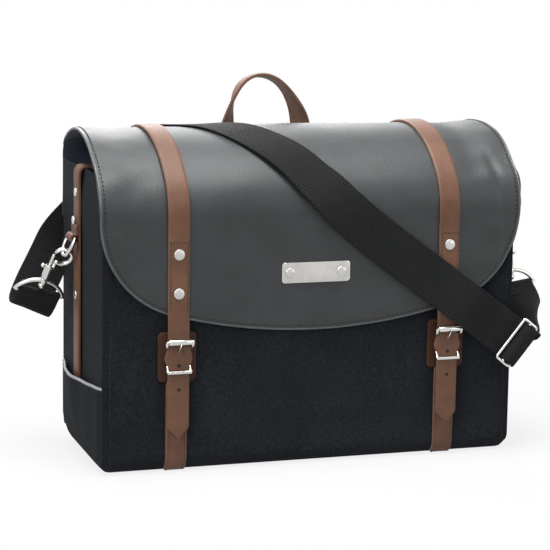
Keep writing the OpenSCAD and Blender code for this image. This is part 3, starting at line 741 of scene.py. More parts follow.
Parts = List[Tuple[Shape, Finish]]
LINING_FACE_Y = -75.95
"""Depth of the flap lining's inner face, where the rivets' backs lie."""
STRAP_HEAD, PLATE_HEAD, SIDE_HEAD, RIVET_BACK = (5.0, 1.5), (4.7, 1.4), (4.1, 1.5), (2.8, 0.5)
"""Radius and height of the rivets' heads and backs."""

FLAP_LEATHER = Finish(
    "grained_flap_leather", "flap_leather", (0.0115, 0.0135, 0.0145), (0.0210, 0.0238, 0.0255), (0.43, 0.57),
    Relief.GRAIN, 0.00022, 14.0, specular=0.44,
)
CANVAS = Finish(
    "waxed_canvas", "canvas", (0.0046, 0.0056, 0.0073), (0.0180, 0.0208, 0.0256), (0.85, 0.98),
    Relief.WEAVE, 0.00026, 16.0, sheen=0.012, specular=0.08, woven=0.7,
)
LINING_CLOTH = Finish(
    "lining_cloth", "lining", (0.012, 0.016, 0.030), (0.022, 0.028, 0.048), (0.80, 0.95),
    Relief.WEAVE, 0.00012, 22.0, sheen=0.1, specular=0.25,
)
BROWN_LEATHER = Finish(
    "grained_brown_leather", "brown_leather", (0.080, 0.0352, 0.0196), (0.136, 0.0640, 0.0366), (0.46, 0.60),
    Relief.GRAIN, 0.00018, 30.0, specular=0.3,
)
# Brown leather made lighter than the straps' as painted highlight for the light falling on the handle.
HANDLE_LEATHER_LIT_TONE = Finish(
    "handle_leather_painted_highlight", "brown_leather", (0.094, 0.047, 0.030), (0.158, 0.088, 0.060), (0.50, 0.64),
    Relief.GRAIN, 0.00010, 30.0, specular=0.22,
)
DARK_LEATHER = Finish(
    "dark_brown_leather", "brown_leather", (0.038, 0.0155, 0.0098), (0.060, 0.027, 0.0175), (0.45, 0.62),
    Relief.GRAIN, 0.00013, 34.0, specular=0.1,
)
NICKEL = Finish(
    "polished_nickel", "nickel", (0.56, 0.55, 0.53), (0.70, 0.69, 0.66), (0.13, 0.26),
    Relief.POLISH, 0.00004, 40.0, metal=1.0,
)
PLATE_STEEL = Finish(
    "plate_steel", "nickel", (0.50, 0.49, 0.47), (0.66, 0.65, 0.62), (0.28, 0.40),
    Relief.POLISH, 0.00003, 60.0, metal=1.0,
)
WEBBING = Finish(
    "strap_webbing", "webbing", (0.0017, 0.0019, 0.0021), (0.0142, 0.0150, 0.0160), (0.66, 0.85),
    Relief.RIB, 0.00045, 25.0, sheen=0.012, specular=0.12, woven=0.8,
)
PIPING_GREY = Finish(
    "reflective_piping", "piping", (0.20, 0.21, 0.23), (0.28, 0.29, 0.31), (0.45, 0.60),
    Relief.WEAVE, 0.00010, 60.0,
)
BOARD = Finish(
    "stiff_board", "board", (0.06, 0.06, 0.062), (0.1, 0.1, 0.1), (0.6, 0.8),
    Relief.GRAIN, 0.0001, 40.0,
)
DARK_THREAD = Finish(
    "dark_thread", "flap_leather", (0.0025, 0.0027, 0.0030), (0.0060, 0.0063, 0.0068), (0.7, 0.85),
    Relief.RIB, 0.00005, 60.0,
)
# Lighter than the flap leather: painted highlight along the flap's rolled edge.
ROLLED_EDGE_HIGHLIGHT = Finish(
    "rolled_edge_painted_highlight", "flap_leather", (0.034, 0.037, 0.039), (0.066, 0.070, 0.073), (0.34, 0.46),
    Relief.GRAIN, 0.00010, 40.0, specular=0.6,
)
TAN_EDGE = Finish(
    "tan_edge", "brown_leather", (0.17, 0.090, 0.058), (0.27, 0.150, 0.100), (0.45, 0.60),
    Relief.GRAIN, 0.00012, 50.0, specular=0.4,
)
BROWN_THREAD = Finish(
    "brown_thread", "brown_leather", (0.010, 0.005, 0.0035), (0.022, 0.011, 0.007), (0.6, 0.8),
    Relief.RIB, 0.00005, 60.0,
)
# Near-black tone: painted shade inside the punched holes.
HOLE_PAINTED_SHADE = Finish(
    "punched_hole_painted_shade", "brown_leather", (0.006, 0.005, 0.004), (0.012, 0.009, 0.007), (0.8, 0.95),
    Relief.GRAIN, 0.0001, 60.0,
)


class Maker:
    """Makes named pieces from shapes and reports them."""

    def __init__(self) -> None:
        """An empty list of pieces."""
        self.made: List[bpy.types.Object] = []

    @staticmethod
    def weld(mesh: bpy.types.Mesh) -> None:
        """Joins points that lie together, so that poles and seams close.

        Args:
            mesh: The mesh, changed in place.
        """
        work = bmesh.new()
        work.from_mesh(mesh)
        bmesh.ops.remove_doubles(work, verts=work.verts, dist=WELD_DISTANCE)
        work.to_mesh(mesh)
        work.free()
        mesh.update()

    def piece(
        self, name: str, parts: Parts, body: Optional[str], replaces: Sequence[str] = (),
        blend: Optional[Tuple[str, str, Sequence[float], Sequence[float]]] = None,
    ) -> bpy.types.Object:
        """One object of one or more shapes, each with its finish.

        Args:
            name: Name of the piece.
            parts: Shapes and their finishes.
            body: The body that it rides on, or None for a piece that lies between two.
            replaces: CAD nodes that it stands for.
            blend: Two bodies and the start and end, in mm, of the stretch between them; only whether it is given is
                read, and then the piece is baked in place instead of being attached.

        Returns:
            The object.
        """
        whole = merged([s for s, _ in parts])
        mesh = bpy.data.meshes.new(name)
        mesh.from_pydata((whole.points * MM).tolist(), [], whole.quads.tolist())
        layer = mesh.uv_layers.new(name="pattern")
        corner = np.empty(len(mesh.loops), np.int32)
        mesh.loops.foreach_get("vertex_index", corner)
        layer.data.foreach_set("uv", (whole.uv[corner] * MM * PATTERN_SCALE).astype(np.float32).ravel())
        finishes: List[Finish] = []
        slots: List[Array] = []
        for shape, finish in parts:
            if finish not in finishes:
                finishes.append(finish)
                mesh.materials.append(finish.material())
            slots.append(np.full(len(shape.quads), finishes.index(finish), np.int32))
        mesh.polygons.foreach_set("material_index", np.concatenate(slots))
        mesh.polygons.foreach_set("use_smooth", np.ones(len(mesh.polygons), bool))
        self.weld(mesh)
        mesh.set_sharp_from_angle(angle=np.radians(SMOOTH_ANGLE))
        obj = bpy.data.objects.new(name, mesh)
        bpy.context.scene.collection.objects.link(obj)
        if blend:
            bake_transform(obj)
        else:
            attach(obj, body)
        if replaces:
            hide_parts(*replaces)
        self.made.append(obj)
        LOG.info("%s: %d faces", name, len(mesh.polygons))
        return obj

    @staticmethod
    def cut(
        obj: bpy.types.Object, width: float, length: float, held: str, rests_on: Sequence[str],
        area: Optional[float] = None,
    ) -> None:
        """Works out a sheet's flat area in square metres from the size it was cut to, and keeps nothing.

        Args:
            obj: The piece; not used.
            width: Width of the flat cut in millimetres; not used.
            length: Length of the flat cut in millimetres.
            held: How the sheet is held; not used.
            rests_on: What it is sewn to or lies on; not used.
            area: Flat area in square millimetres where the cut isn't a rectangle.
        """
        flat_area = None if area is None else area * MM**2
        length * MM


@dataclass
class FlapLine:
    """The flap's outer line from the side, by length from its rear seam: three tangent arcs between straights."""

    front_y: float = -79.0
    rear_y: float = 78.0
    crest_y: float = 17.0
    crest_z: float = 305.0
    shoulder_z: float = 233.0
    shoulder_r: float = 50.0
    rear_r: float = 24.0
    seam_z: float = 216.0

    def __post_init__(self) -> None:
        """Works out the arcs' centres, angles and lengths."""
        rise, run = self.crest_z - self.shoulder_z, self.crest_y - self.front_y - self.shoulder_r
        self.crest_r = (run**2 + rise**2 - self.shoulder_r**2) / (2 * (rise - self.shoulder_r))
        self.crest_c = np.array([self.crest_y, self.crest_z - self.crest_r])
        self.shoulder_c = np.array([self.front_y + self.shoulder_r, self.shoulder_z])
        back = self.rear_y - self.rear_r - self.crest_y
        rear_z = self.crest_c[1] + np.sqrt((self.crest_r - self.rear_r) ** 2 - back**2)
        self.rear_c = np.array([self.rear_y - self.rear_r, rear_z])
        to_rear, to_front = self.rear_c - self.crest_c, self.shoulder_c - self.crest_c
        self.rear_a = np.arctan2(to_rear[1], to_rear[0])
        self.front_a = np.arctan2(to_front[1], to_front[0])
        spans = [
            rear_z - self.seam_z,
            self.rear_r * self.rear_a,
            self.crest_r * (self.front_a - self.rear_a),
            self.shoulder_r * (np.pi - self.front_a),
        ]
        self.ends = np.cumsum(spans)

    def at(self, s: Array, lift: Union[float, Array] = 0.0) -> Tuple[Array, Array, Array]:
        """The line's point and outward direction at lengths s.

        Args:
            s: Lengths from the rear seam.
            lift: Distance outwards from the line.

        Returns:
            y, z, and the outward directions (y, z).
        """
        s = np.asarray(s, float)
        e = self.ends
        before = [s < end for end in e]
        angle = np.select(
            before,
            [
                np.zeros_like(s),
                (s - e[0]) / self.rear_r,
                self.rear_a + (s - e[1]) / self.crest_r,
                self.front_a + (s - e[2]) / self.shoulder_r,
            ],
            np.pi,
        )
        part = np.select(before, [0, 1, 2, 3], 4)
        centre = np.stack([self.rear_c, self.rear_c, self.crest_c, self.shoulder_c, self.shoulder_c])[part]
        radius = np.array([self.rear_r, self.rear_r, self.crest_r, self.shoulder_r, self.shoulder_r])[part]
        out = np.stack([np.cos(angle), np.sin(angle)], -1)
        drop = np.where(part == 0, s - e[0], np.where(part == 4, e[3] - s, 0.0))
        p = centre + out * (radius + lift)[..., None]
        return p[..., 0], p[..., 1] + drop, out

    def length_at(self, z: Array) -> Array:
        """The length at height z on the straight front."""
        return self.ends[3] + self.shoulder_z - np.asarray(z, float)


@dataclass
class Flap:
    """The leather flap with its lining and edge stitching."""

    maker: Maker
    line: FlapLine = field(default_factory=FlapLine)
    half_w: float = 202.5
    rear_half_w: float = 199.0
    edge_z: float = 127.0
    edge_r: float = 510.0
    corner_r: float = 90.0
    leather_t: float = 2.0
    lining_t: float = 1.0
    lining_inset: float = 1.5
    seam_inset: float = 3.6
    rim_inset: float = 0.3
    rim_r: float = 1.2
    bend: Tuple[Point, Point] = ((0, 64, 300), (0, 4, 300))

    def lower_edge(self, x: Array) -> Array:
        """Height of the lower edge at x: a long shallow arc between two round corners.

        Args:
            x: Distance across from the middle.

        Returns:
            Heights in mm.
        """
        cx = self.half_w - self.corner_r
        ax = np.abs(x)
        low = self.edge_z + self.edge_r - np.sqrt(np.maximum(self.edge_r**2 - ax**2, 0))
        corner = self.corner_cz() - np.sqrt(np.maximum(self.corner_r**2 - (ax - cx) ** 2, 0))
        return np.where(ax < self.meet_x(), low, corner)

    def meet_x(self) -> float:
        """Distance from the middle at which a round corner meets the lower arc."""
        return (self.half_w - self.corner_r) * self.edge_r / (self.edge_r - self.corner_r)

    def corner_cz(self) -> float:
        """Height of the round corners' centres."""
        cx = self.half_w - self.corner_r
        return float(self.edge_z + self.edge_r - np.sqrt((self.edge_r - self.corner_r) ** 2 - cx**2))

    def half_width(self, s: Array) -> Array:
        """Half the flap's width at length s: a little narrower at the back."""
        return self.rear_half_w + (self.half_w - self.rear_half_w) * smoothstep(s, 60, 200)

    def lift(self, x: Array, s: Array) -> Array:
        """How far the leather stands off its plain line: slack along the crest, dips, lifted ends, a crease and
        a fold on the right, and fine wear. Each is a height in mm times bells and ramps in x and s.

        Args:
            x: Distance across from the middle.
            s: Length from the rear seam.

        Returns:
            Distance outwards in mm.
        """
        crest = smoothstep(s, 70, 130) * (1 - smoothstep(s, 235, 275))
        front = smoothstep(s, 250, 290)
        soft = 0.8 * crest * ripple(x, s, 150, 3)
        dip = -2.6 * bump(x, 163, 15) * bump(s, 165, 55) - 1.6 * bump(x, -168, 22) * bump(s, 150, 45)
        ends = 1.2 * smoothstep(np.abs(x), 170, 203) * crest
        crease = -1.2 * bump(x - 0.12 * (s - 260), 186, 5) * smoothstep(s, 190, 230)
        crease = crease * (1 - smoothstep(s, 300, 340))
        slant = s + 0.10 * x
        hollow = -1.2 * bump(slant, 236, 10) * smoothstep(x, 140, 200)
        fold = hollow + 0.9 * bump(slant, 258, 12) * smoothstep(x, 150, 200)
        worn = 0.35 * smoothstep(np.abs(x), 120, 195) * ripple(x, s, 26, 15) * smoothstep(s, 120, 200)
        return soft + dip + ends + crease + fold + worn + 0.22 * front * ripple(x, s, 70, 8)

    def sheet(self, lift: float, nu: int = 150, nv: int = 150, inset: float = 0.0) -> Array:
        """The flap's surface: columns at x across it, each from the rear seam to the lower edge at that x.

        Args:
            lift: Distance outwards from the outer line.
            nu: Columns.
            nv: Points of each column.
            inset: How far the lower edge and the sides are drawn in.

        Returns:
            Grid of points.
        """
        closer = 0.92  # columns stand closer together towards the sides
        across = np.sin(np.linspace(-np.pi / 2, np.pi / 2, nu) * closer) / np.sin(np.pi / 2 * closer)
        x_front = across * (self.half_w - inset)
        total = self.line.length_at(self.lower_edge(x_front) + inset)
        t = np.linspace(0, 1, nv)
        s = t[None, :] * total[:, None]
        x = across[:, None] * (self.half_width(s) - inset)
        y, z, _ = self.line.at(s, lift + self.lift(x, s))
        return np.stack([x, y, z], -1)

    def edge_path(self, inset: float, lift: float) -> Tuple[Array, Array]:
        """A line along the flap's sides and lower edge, inset from them, and the outward directions there.

        Args:
            inset: Distance from the edge.
            lift: Distance outwards from the outer line.

        Returns:
            The line's points and the directions, one row for each point.
        """
        cx, cr = self.half_w - self.corner_r, self.corner_r - inset
        meet_x = self.meet_x()
        xs = np.linspace(-meet_x, meet_x, 160)
        low = self.lower_edge(xs) + inset
        a0 = np.degrees(np.arctan2(self.lower_edge(np.array([meet_x]))[0] - self.corner_cz(), meet_x - cx))
        right = arc(cx, self.corner_cz(), cr, a0, 0, 60)[1:]
        left = right[::-1] * [-1, 1]
        s_low = self.line.length_at(np.concatenate([left[:, 1], low, right[:, 1]]))
        x_low = np.concatenate([left[:, 0], xs, right[:, 0]])
        s_side = np.linspace(70, s_low[0], 200)[:-1]
        side_x = self.half_width(s_side) - inset
        x = np.concatenate([-side_x, x_low, side_x[::-1]])
        s = np.concatenate([s_side, s_low, s_side[::-1]])
        y, z, out = self.line.at(s, lift + self.lift(x, s))
        return np.stack([x, y, z], -1), on_plane(out, 0)

    def flat_cut(self, inset: float) -> Tuple[float, float, float]:
        """Width, length and area of the flat cut: the columns' mean length times the width.

        Args:
            inset: How far the edges are drawn in.

        Returns:
            Lengths in mm and area in square mm.
        """
        half = self.half_w - inset
        total = self.line.length_at(self.lower_edge(np.linspace(-half, half, 200)) + inset)
        return 2 * half, float(total.max()), float(total.mean() * 2 * half)

    def build(self) -> None:
        """Makes the leather, its stitching and its lining."""
        outer = self.sheet(0.0)
        leather = slab(outer[::-1], self.leather_t)
        path, out = self.edge_path(self.seam_inset, 0.05)
        blend = ("bag", "flap", *self.bend)
        rim, _ = self.edge_path(self.rim_inset, -self.leather_t / 2)
        # The rolled edge's lighter tone is painted highlight along the rim.
        parts = [(leather, FLAP_LEATHER), (rod(rim, self.rim_r, 12), ROLLED_EDGE_HIGHLIGHT)]
        shell = self.maker.piece("flap_leather", parts, None, ["flap_shell", "flap_rear_roll"], blend=blend)
        self.maker.piece("flap_stitching", [(stitches(path, out, FLAP_SEAM), DARK_THREAD)], None, blend=blend)
        drawn_in = self.lining_inset
        inner = slab(self.sheet(-self.leather_t, 110, 110, drawn_in)[::-1], self.lining_t)
        nodes = ["flap_lining", "flap_rear_lining"]
        cloth = self.maker.piece("flap_inner_cloth", [(inner, LINING_CLOTH)], None, nodes, blend=blend)
        for obj, inset, on in ((shell, 0.0, "flap_inner_cloth"), (cloth, drawn_in, "flap_leather")):
            width, length, area = self.flat_cut(inset)
            self.maker.cut(obj, width, length, "draped", ["back_panel", on], area)


@dataclass
class Body:
    """The canvas body: front, back, gussets and bottom on one rounded plan, with the lining bag inside.

    lining_cut is the lining's width, depth and height as cut, and corners_cut what round corners take off its girth.
    """

    maker: Maker
    flap: Flap
    half_w: float = 200.0
    half_d: float = 75.0
    back_h: float = 262.0
    gusset_h: float = 271.0
    front_h: float = 234.0
    canvas_t: float = 2.0
    corner_r: float = 6.0
    bottom_r: float = 14.0
    side_r: float = 5.0
    bulge: float = 3.0
    end_r: float = 9.0
    flap_gap: float = 4.2
    board_half: Pair = (193.9, 60.9)
    board_z: float = 2.3
    board_t: float = 2.6
    lining_half: Pair = (193.5, 71.0)
    lining_r: float = 16.0
    lining_z: Pair = (5.2, 226.0)
    lining_y: float = -1.65
    lining_t: float = 1.0
    lining_pitch: float = 8.0
    lining_cut: Point = (387.0, 142.0, 221.0)
    corners_cut: float = 27.5

    def plan_side(self, count: int) -> Array:
        """Plan line of the right side: front corner, bulging gusset, rear corner, evenly spaced.

        Args:
            count: Points on each 300 mm of the line.

        Returns:
            Rows of x and y.
        """
        chord = self.half_d - self.corner_r
        r = (chord**2 + self.bulge**2) / (2 * self.bulge)
        a = np.degrees(np.arcsin(chord / r))
        cx = self.half_w - self.corner_r
        front = arc(cx, -chord, self.corner_r, -90, -4, 12)
        middle = arc(self.half_w + self.bulge - r, 0, r, -0.95 * a, 0.95 * a, 40)
        line = np.concatenate([front, middle, arc(cx, chord, self.corner_r, 4, 90, 12)])
        return resampled(through(line, 6 * len(line)), 300.0 / count)

    @staticmethod
    def tuck(z: Array, r: float) -> Array:
        """How far a wall turns in near the floor: a quarter circle of radius r."""
        d = np.clip(r - z, 0, r)
        return r - np.sqrt(np.maximum(r**2 - d**2, 0))

    def ends_up(self, p: Array) -> Array:
        """Rounds the lower ends: the floor rises there on a quarter ellipse that grows from front to back.

        Args:
            p: Points, with coordinates along the last axis.

        Returns:
            The raised points.
        """
        back = np.clip((p[..., 1] + self.half_d) / (2 * self.half_d), 0, 1)
        reach, high = self.end_r * (1 + back), self.end_r * (0.9 + 1.5 * back)
        d = np.clip(np.abs(p[..., 0]) - self.half_w + reach, 0, reach) / reach
        rise = high * (1 - np.sqrt(np.maximum(1 - d**2, 0))) * (1 - smoothstep(p[..., 2] / high, 0, 3.2))
        return p + rise[..., None] * np.array([0, 0, 1.0])

    def sag(self, a: Array, z: Array, seed: int) -> Array:
        """Slack in the canvas: shallow waves and a soft fold above the floor, mostly inwards.

        Args:
            a: Length along the wall.
            z: Height.
            seed: Seed of the waves.

        Returns:
            Distance outwards in mm.
        """
        fade = smoothstep(z, 6, 60) * (1 - smoothstep(z, 205, 250))
        fold = 0.7 * bump(z, 34, 12) * (1 + 0.5 * ripple(a, z, 90, seed + 1))
        return fade * (0.7 * ripple(a, z, 130, seed) - 0.9) - fold

    def wall_rows(self, top: Array, count: int) -> Array:
        """Heights from the floor line to each column's top, closer together near the floor."""
        t = np.linspace(0, 1, count) ** 1.25
        return t[None, :] * top[:, None]

    def flat_panel(self, top: float, facing: int, seed: int, slack: float = 1.0) -> Array:
        """Front or back panel: columns at x, each from under the bag round the bottom edge and up.

        Args:
            top: Height of the upper edge.
            facing: -1 for the front, 1 for the back.
            seed: Seed of the slack's waves.
            slack: Share of the slack; the back is held flat by its board.

        Returns:
            Grid of points.
        """
        x = np.linspace(-(self.half_w - self.corner_r), self.half_w - self.corner_r, 140)
        z = self.wall_rows(np.full(len(x), top), 90)
        xs = np.broadcast_to(x[:, None], z.shape)
        out = self.half_d + slack * self.sag(xs, z, seed) - self.tuck(z, self.bottom_r)
        return self.ends_up(np.stack([xs, facing * out, z], -1))

    def gusset(self, side: Side, seed: int) -> Array:
        """A gusset: columns round the plan line, from the floor to the flap's underside.

        Args:
            side: Which end of the bag.
            seed: Seed of the slack's waves.

        Returns:
            Grid of points.
        """
        plan = self.plan_side(80)
        t = unit(np.gradient(plan, axis=0))
        out = np.stack([t[:, 1], -t[:, 0]], -1)
        y = plan[:, 1]
        top = np.minimum(self.gusset_h, self.under_flap(y))
        z = self.wall_rows(top, 90)
        run = run_of(plan)
        edge = smoothstep(run, 0, 26) * smoothstep(run[-1] - run, 0, 26)
        move = edge[:, None] * self.sag(run[:, None] + 500.0, z, seed)
        move = move - 3.5 * edge[:, None] * smoothstep(z, 240, 271) * (0.6 + 0.4 * np.cos(y / 18))[:, None]
        px = plan[:, :1] + out[:, :1] * (move - self.tuck(z, self.side_r))
        py = plan[:, 1:] * (1 - self.tuck(z, self.bottom_r) / self.half_d) + out[:, 1:] * move
        return self.ends_up(np.stack([side.value * px, py, z], -1))

    def under_flap(self, y: Array) -> Array:
        """Height of the gussets' upper edge at y: a gap below the flap's outer line.

        Args:
            y: Depths in mm.

        Returns:
            Heights in mm.
        """
        s = np.linspace(self.flap.line.ends[0] - 20, self.flap.line.ends[3] + 20, 400)
        ly, lz, _ = self.flap.line.at(s, -self.flap_gap)
        return np.interp(-y, -ly, lz)

    def build(self) -> None:
        """Makes the panels, seams and the lining bag."""
        front = self.flat_panel(self.front_h, -1, 21)
        back = self.flat_panel(self.back_h, 1, 31, 0.35)
        thick = self.canvas_t
        width, turned = 2 * (self.half_w - self.corner_r), self.bottom_r * (np.pi / 2 - 1)
        gussets = ["left_gusset", "right_gusset"]
        panels = (("front", front, self.front_h, []), ("back", back[::-1], self.back_h, ["back_board"]))
        for word, grid, high, board in panels:
            obj = self.maker.piece(f"{word}_canvas", [(slab(grid, thick), CANVAS)], "bag", [f"{word}_panel"])
            self.maker.cut(obj, width, high + turned, "stretched", [*board, "bottom_panel", *gussets])
        for side, seed in ((Side.LEFT, 41), (Side.RIGHT, 51)):
            p = self.gusset(side, seed)
            p = p if side is Side.RIGHT else p[::-1]
            parts = [(slab(p, thick), CANVAS)]
            obj = self.maker.piece(f"{side.word}_gusset_canvas", parts, "bag", [f"{side.word}_gusset"])
            plan = self.plan_side(80)
            run = float(np.linalg.norm(np.diff(plan, axis=0), axis=1).sum())
            area = run * float(np.minimum(self.gusset_h, self.under_flap(plan[:, 1])).mean())
            sewn_to = ["bottom_panel", "front_panel", "back_panel"]
            self.maker.cut(obj, run, self.gusset_h, "stretched", sewn_to, area)
        floor_obj = self.maker.piece("bottom_canvas", [(self.floor(), CANVAS)], "bag", ["bottom_panel"])
        floor_w, floor_d = 2 * (self.half_w + self.bulge - self.side_r), 2 * (self.half_d - self.bottom_r)
        self.maker.cut(floor_obj, floor_w, floor_d, "stretched", ["front_panel", "back_panel", *gussets])
        wide, deep = self.board_half
        x, y = np.meshgrid(np.linspace(-wide, wide, 80), np.linspace(-deep, deep, 20), indexing="ij")
        under = self.ends_up(np.stack([x, y, np.full_like(x, self.board_z)], -1))
        board = slab(under + [0, 0, self.board_t], self.board_t)
        self.maker.piece("base_board_sheet", [(board, BOARD)], "bag", ["base_board"])
        self.maker.piece("corner_seams", self.seams(), "bag")
        bag_obj = self.maker.piece("inner_bag", [(self.inner_bag(), LINING_CLOTH)], "bag", ["lining"])
        wide, deep, high = self.lining_cut
        round_it = 2 * (wide + deep) - self.corners_cut
        area = round_it * high + wide * deep
        self.maker.cut(bag_obj, round_it, high + deep / 2, "hung", ["front_panel", "back_panel"], area)

    def floor(self) -> Shape:
        """The bottom: the plan drawn in by the bottom radii, filled between its front and back halves.

        Returns:
            The closed shape.
        """
        plan = self.plan_side(60)
        half = plan[plan[:, 1] <= 0] * [1, 1 - self.bottom_r / self.half_d]
        half[:, 0] -= self.side_r * smoothstep(half[:, 0], self.half_w - self.corner_r, self.half_w)
        x = np.concatenate([-half[::-1, 0], half[:, 0]])
        y = np.concatenate([half[::-1, 1], half[:, 1]])
        t = np.linspace(1, -1, 30)
        depth = np.minimum(y, -1.0)[:, None] * t[None]
        p = np.stack([np.broadcast_to(x[:, None], depth.shape), depth, np.zeros(depth.shape)], -1)
        return slab(self.ends_up(p)[::-1], self.canvas_t)

    def seams(self) -> Parts:
        """A raised seam on each upright corner and a row of stitches beside it.

        Returns:
            The shapes and their finishes.
        """
        parts: Parts = []
        a = np.radians(52)
        sx = self.half_w - self.corner_r * (1 - np.sin(a))
        sy = self.half_d - self.corner_r * (1 - np.cos(a))
        beside = self.half_w - self.corner_r - 1
        for x in (-1, 1):
            for facing, top in ((-1, self.front_h - 2), (1, self.back_h - 2)):
                z = np.linspace(4.0, top, 120)
                deep = 1 - self.tuck(z, self.bottom_r) / self.half_d
                line = np.stack([x * (sx - 0.6 * self.tuck(z, self.side_r)), facing * sy * deep, z], -1)
                parts.append((rod(self.ends_up(line), 0.9, 10), CANVAS))
                row = np.stack([np.full_like(z, x * beside), facing * (self.half_d * deep - 0.05), z], -1)
                parts.append((stitches(self.ends_up(row), [0, facing, 0], CANVAS_SEAM), DARK_THREAD))
        return parts

    def inner_bag(self) -> Shape:
        """The lining bag: a rounded plan carried up from the board to its hem, with slack, and a floor.

        Returns:
            The closed shape.
        """
        w, d = self.lining_half
        low, hem = self.lining_z
        loop = rounded_rectangle(w, d, self.lining_r, 14)
        loop = resampled(np.concatenate([loop, [[w, d - self.lining_r]]]), self.lining_pitch)[:-1]
        centre = np.array([0, self.lining_y])
        scale = np.concatenate([np.linspace(1e-6, 0.93, 10), [0.965, 0.985, 0.99], np.full(30, 0.992)])
        turned = [low + 1.0, low + 4.0, low + 9.0]
        z = np.concatenate([np.full(10, low), turned, np.linspace(low + 14, hem, 30)])
        run = np.arange(len(loop)) * self.lining_pitch
        slack = 1.0 - 0.006 * (1 + ripple(run[:, None], z[None], 90, 61)) * smoothstep(z, 30, 90)[None]
        around = loop[:, None] * (scale[None] * slack)[..., None] + centre
        p = np.concatenate([around, np.broadcast_to(z[None, :, None], (len(loop), len(z), 1))], -1)
        return self.cup(self.ends_up(p), self.lining_t)

    def cup(self, p: Array, thickness: float) -> Shape:
        """A closed bag from rings that start near the axis of its floor: outer rings, hem and inner rings.

        Args:
            p: Rings of points (round, rings, 3).
            thickness: Thickness.

        Returns:
            The closed shape.
        """
        n = surface_normals(np.concatenate([p[-1:], p, p[:1]]))[1:-1]
        inner = (p - n * thickness)[:, ::-1]
        both = np.concatenate([p, inner], 1)
        run = np.arange(both.shape[0]) * self.lining_pitch
        rows = np.concatenate([p[0, :, 2], inner[0, :, 2] - 300])
        flat = np.stack(np.meshgrid(run, rows, indexing="ij"), -1)
        return Shape(both.reshape(-1, 3), grid_quads(both.shape[0], both.shape[1], True), flat.reshape(-1, 2))


@dataclass
class SidePockets:
    """The side pockets, flat at the corner seams and slack in the middle, with their grey piping."""

    maker: Maker
    body: Body
    half_y: float = 70.0
    low: float = 1.0
    top: float = 78.0
    slack: float = 7.0
    gap: float = 0.4
    canvas_t: float = 1.6
    piping_r: float = 1.4

    def face(self, y: Array, z: Array, seed: int) -> Array:
        """Distance of the pocket's face from the middle plane: the gusset's bulge, plus slack growing upwards.

        Args:
            y: Depths in mm.
            z: Heights in mm.
            seed: Seed of the folds.

        Returns:
            Distances in mm.
        """
        chord = self.body.half_d - self.body.corner_r
        flat = self.body.half_w + self.body.bulge * (1 - (y / chord) ** 2) + self.gap + self.canvas_t
        round_off = 3.0 * smoothstep(np.abs(y), 62, 74)
        middle = np.cos(np.pi * np.clip(y, -self.half_y, self.half_y) / (2 * self.half_y)) ** 2
        slack = self.slack * middle * smoothstep(z, 0, 70)
        folds = 0.5 * ripple(y, z * 0.35, 34, seed) * smoothstep(z, 6, 40)
        folds = folds * (1 - smoothstep(np.abs(y), 40, 66))
        return flat - round_off + slack + folds - self.body.tuck(z, self.body.side_r)

    def build(self) -> None:
        """Makes both pockets and both pipings."""
        for side, seed in ((Side.LEFT, 71), (Side.RIGHT, 81)):
            rows, columns = np.linspace(self.low, self.top, 50), np.linspace(-self.half_y, self.half_y, 90)
            y, z = np.meshgrid(columns, rows, indexing="ij")
            deep = 1 - self.body.tuck(z, self.body.bottom_r) / self.body.half_d
            p = self.body.ends_up(np.stack([side.value * self.face(y, z, seed), y * deep, z], -1))
            p = p if side is Side.RIGHT else p[::-1]
            canvas = [(slab(p, self.canvas_t), CANVAS)]
            obj = self.maker.piece(f"{side.word}_pocket_canvas", canvas, "bag", [f"{side.word}_side_pocket"])
            self.maker.cut(obj, 2 * self.half_y, self.top - self.low, "stretched", [f"{side.word}_gusset"])
            y = np.linspace(-self.half_y - 0.5, self.half_y + 0.5, 110)
            z = np.full_like(y, self.top)
            middle = self.face(y, z, seed) - self.canvas_t / 2
            line = np.stack([side.value * middle, y, z + self.piping_r * 0.7], -1)
            row = line + [side.value * (self.canvas_t / 2), 0, -self.piping_r - 1.6]
            sewn = stitches(row, [side.value, 0, 0], POCKET_SEAM)
            parts = [(rod(line, self.piping_r, 12), PIPING_GREY), (sewn, DARK_THREAD)]
            self.maker.piece(f"{side.word}_piping", parts, "bag", [f"{side.word}_pocket_piping"])


STRIP_COLUMNS = 13
SEAM_OFFSET = 7.8
"""Distance of the edge stitching from the middle of a leather strip 20 mm wide."""


def strip(path: Array, across: Array, half_w: Union[float, Array], thickness: float) -> Shape:
    """A leather strip: its outer face runs along path, half_w to each side along across, with dropped edges.

    Args:
        path: Points of the outer face's middle line.
        across: Direction across the strip, one or one for each point.
        half_w: Half width, one or one for each point.
        thickness: Thickness behind the outer face.

    Returns:
        The closed shape, with pattern coordinates along and across it.
    """
    path = np.asarray(path, float)
    n = len(path)
    across = np.broadcast_to(np.asarray(across, float), path.shape)
    half = np.broadcast_to(np.asarray(half_w, float), (n,))
    w = np.sin(np.linspace(-np.pi / 2, np.pi / 2, STRIP_COLUMNS))
    t = unit(np.gradient(path, axis=0))
    out = unit(np.cross(t, across))
    drop = 0.28 * thickness * np.clip((np.abs(w) - 0.82) / 0.18, 0, 1) ** 2
    beside = half[:, None] * w[None]
    p = path[:, None] + across[:, None] * beside[..., None] - out[:, None] * drop[None, :, None]
    uv = np.stack([np.broadcast_to(run_of(path)[:, None], (n, STRIP_COLUMNS)), beside], -1)
    return slab(p, thickness * 0.94, uv)


def edged(sheet: Shape, count: int) -> Parts:
    """A strip's brown faces and its lighter edge: the last 4 (rows + columns - 2) faces of a slab are its rim.

    Args:
        sheet: The strip.
        count: Rows, that is points along it.

    Returns:
        Both parts with their finishes.
    """
    rim = 4 * (count + STRIP_COLUMNS - 2)
    return [
        (Shape(sheet.points, sheet.quads[:-rim], sheet.uv), BROWN_LEATHER),
        (Shape(sheet.points, sheet.quads[-rim:], sheet.uv), TAN_EDGE),
    ]


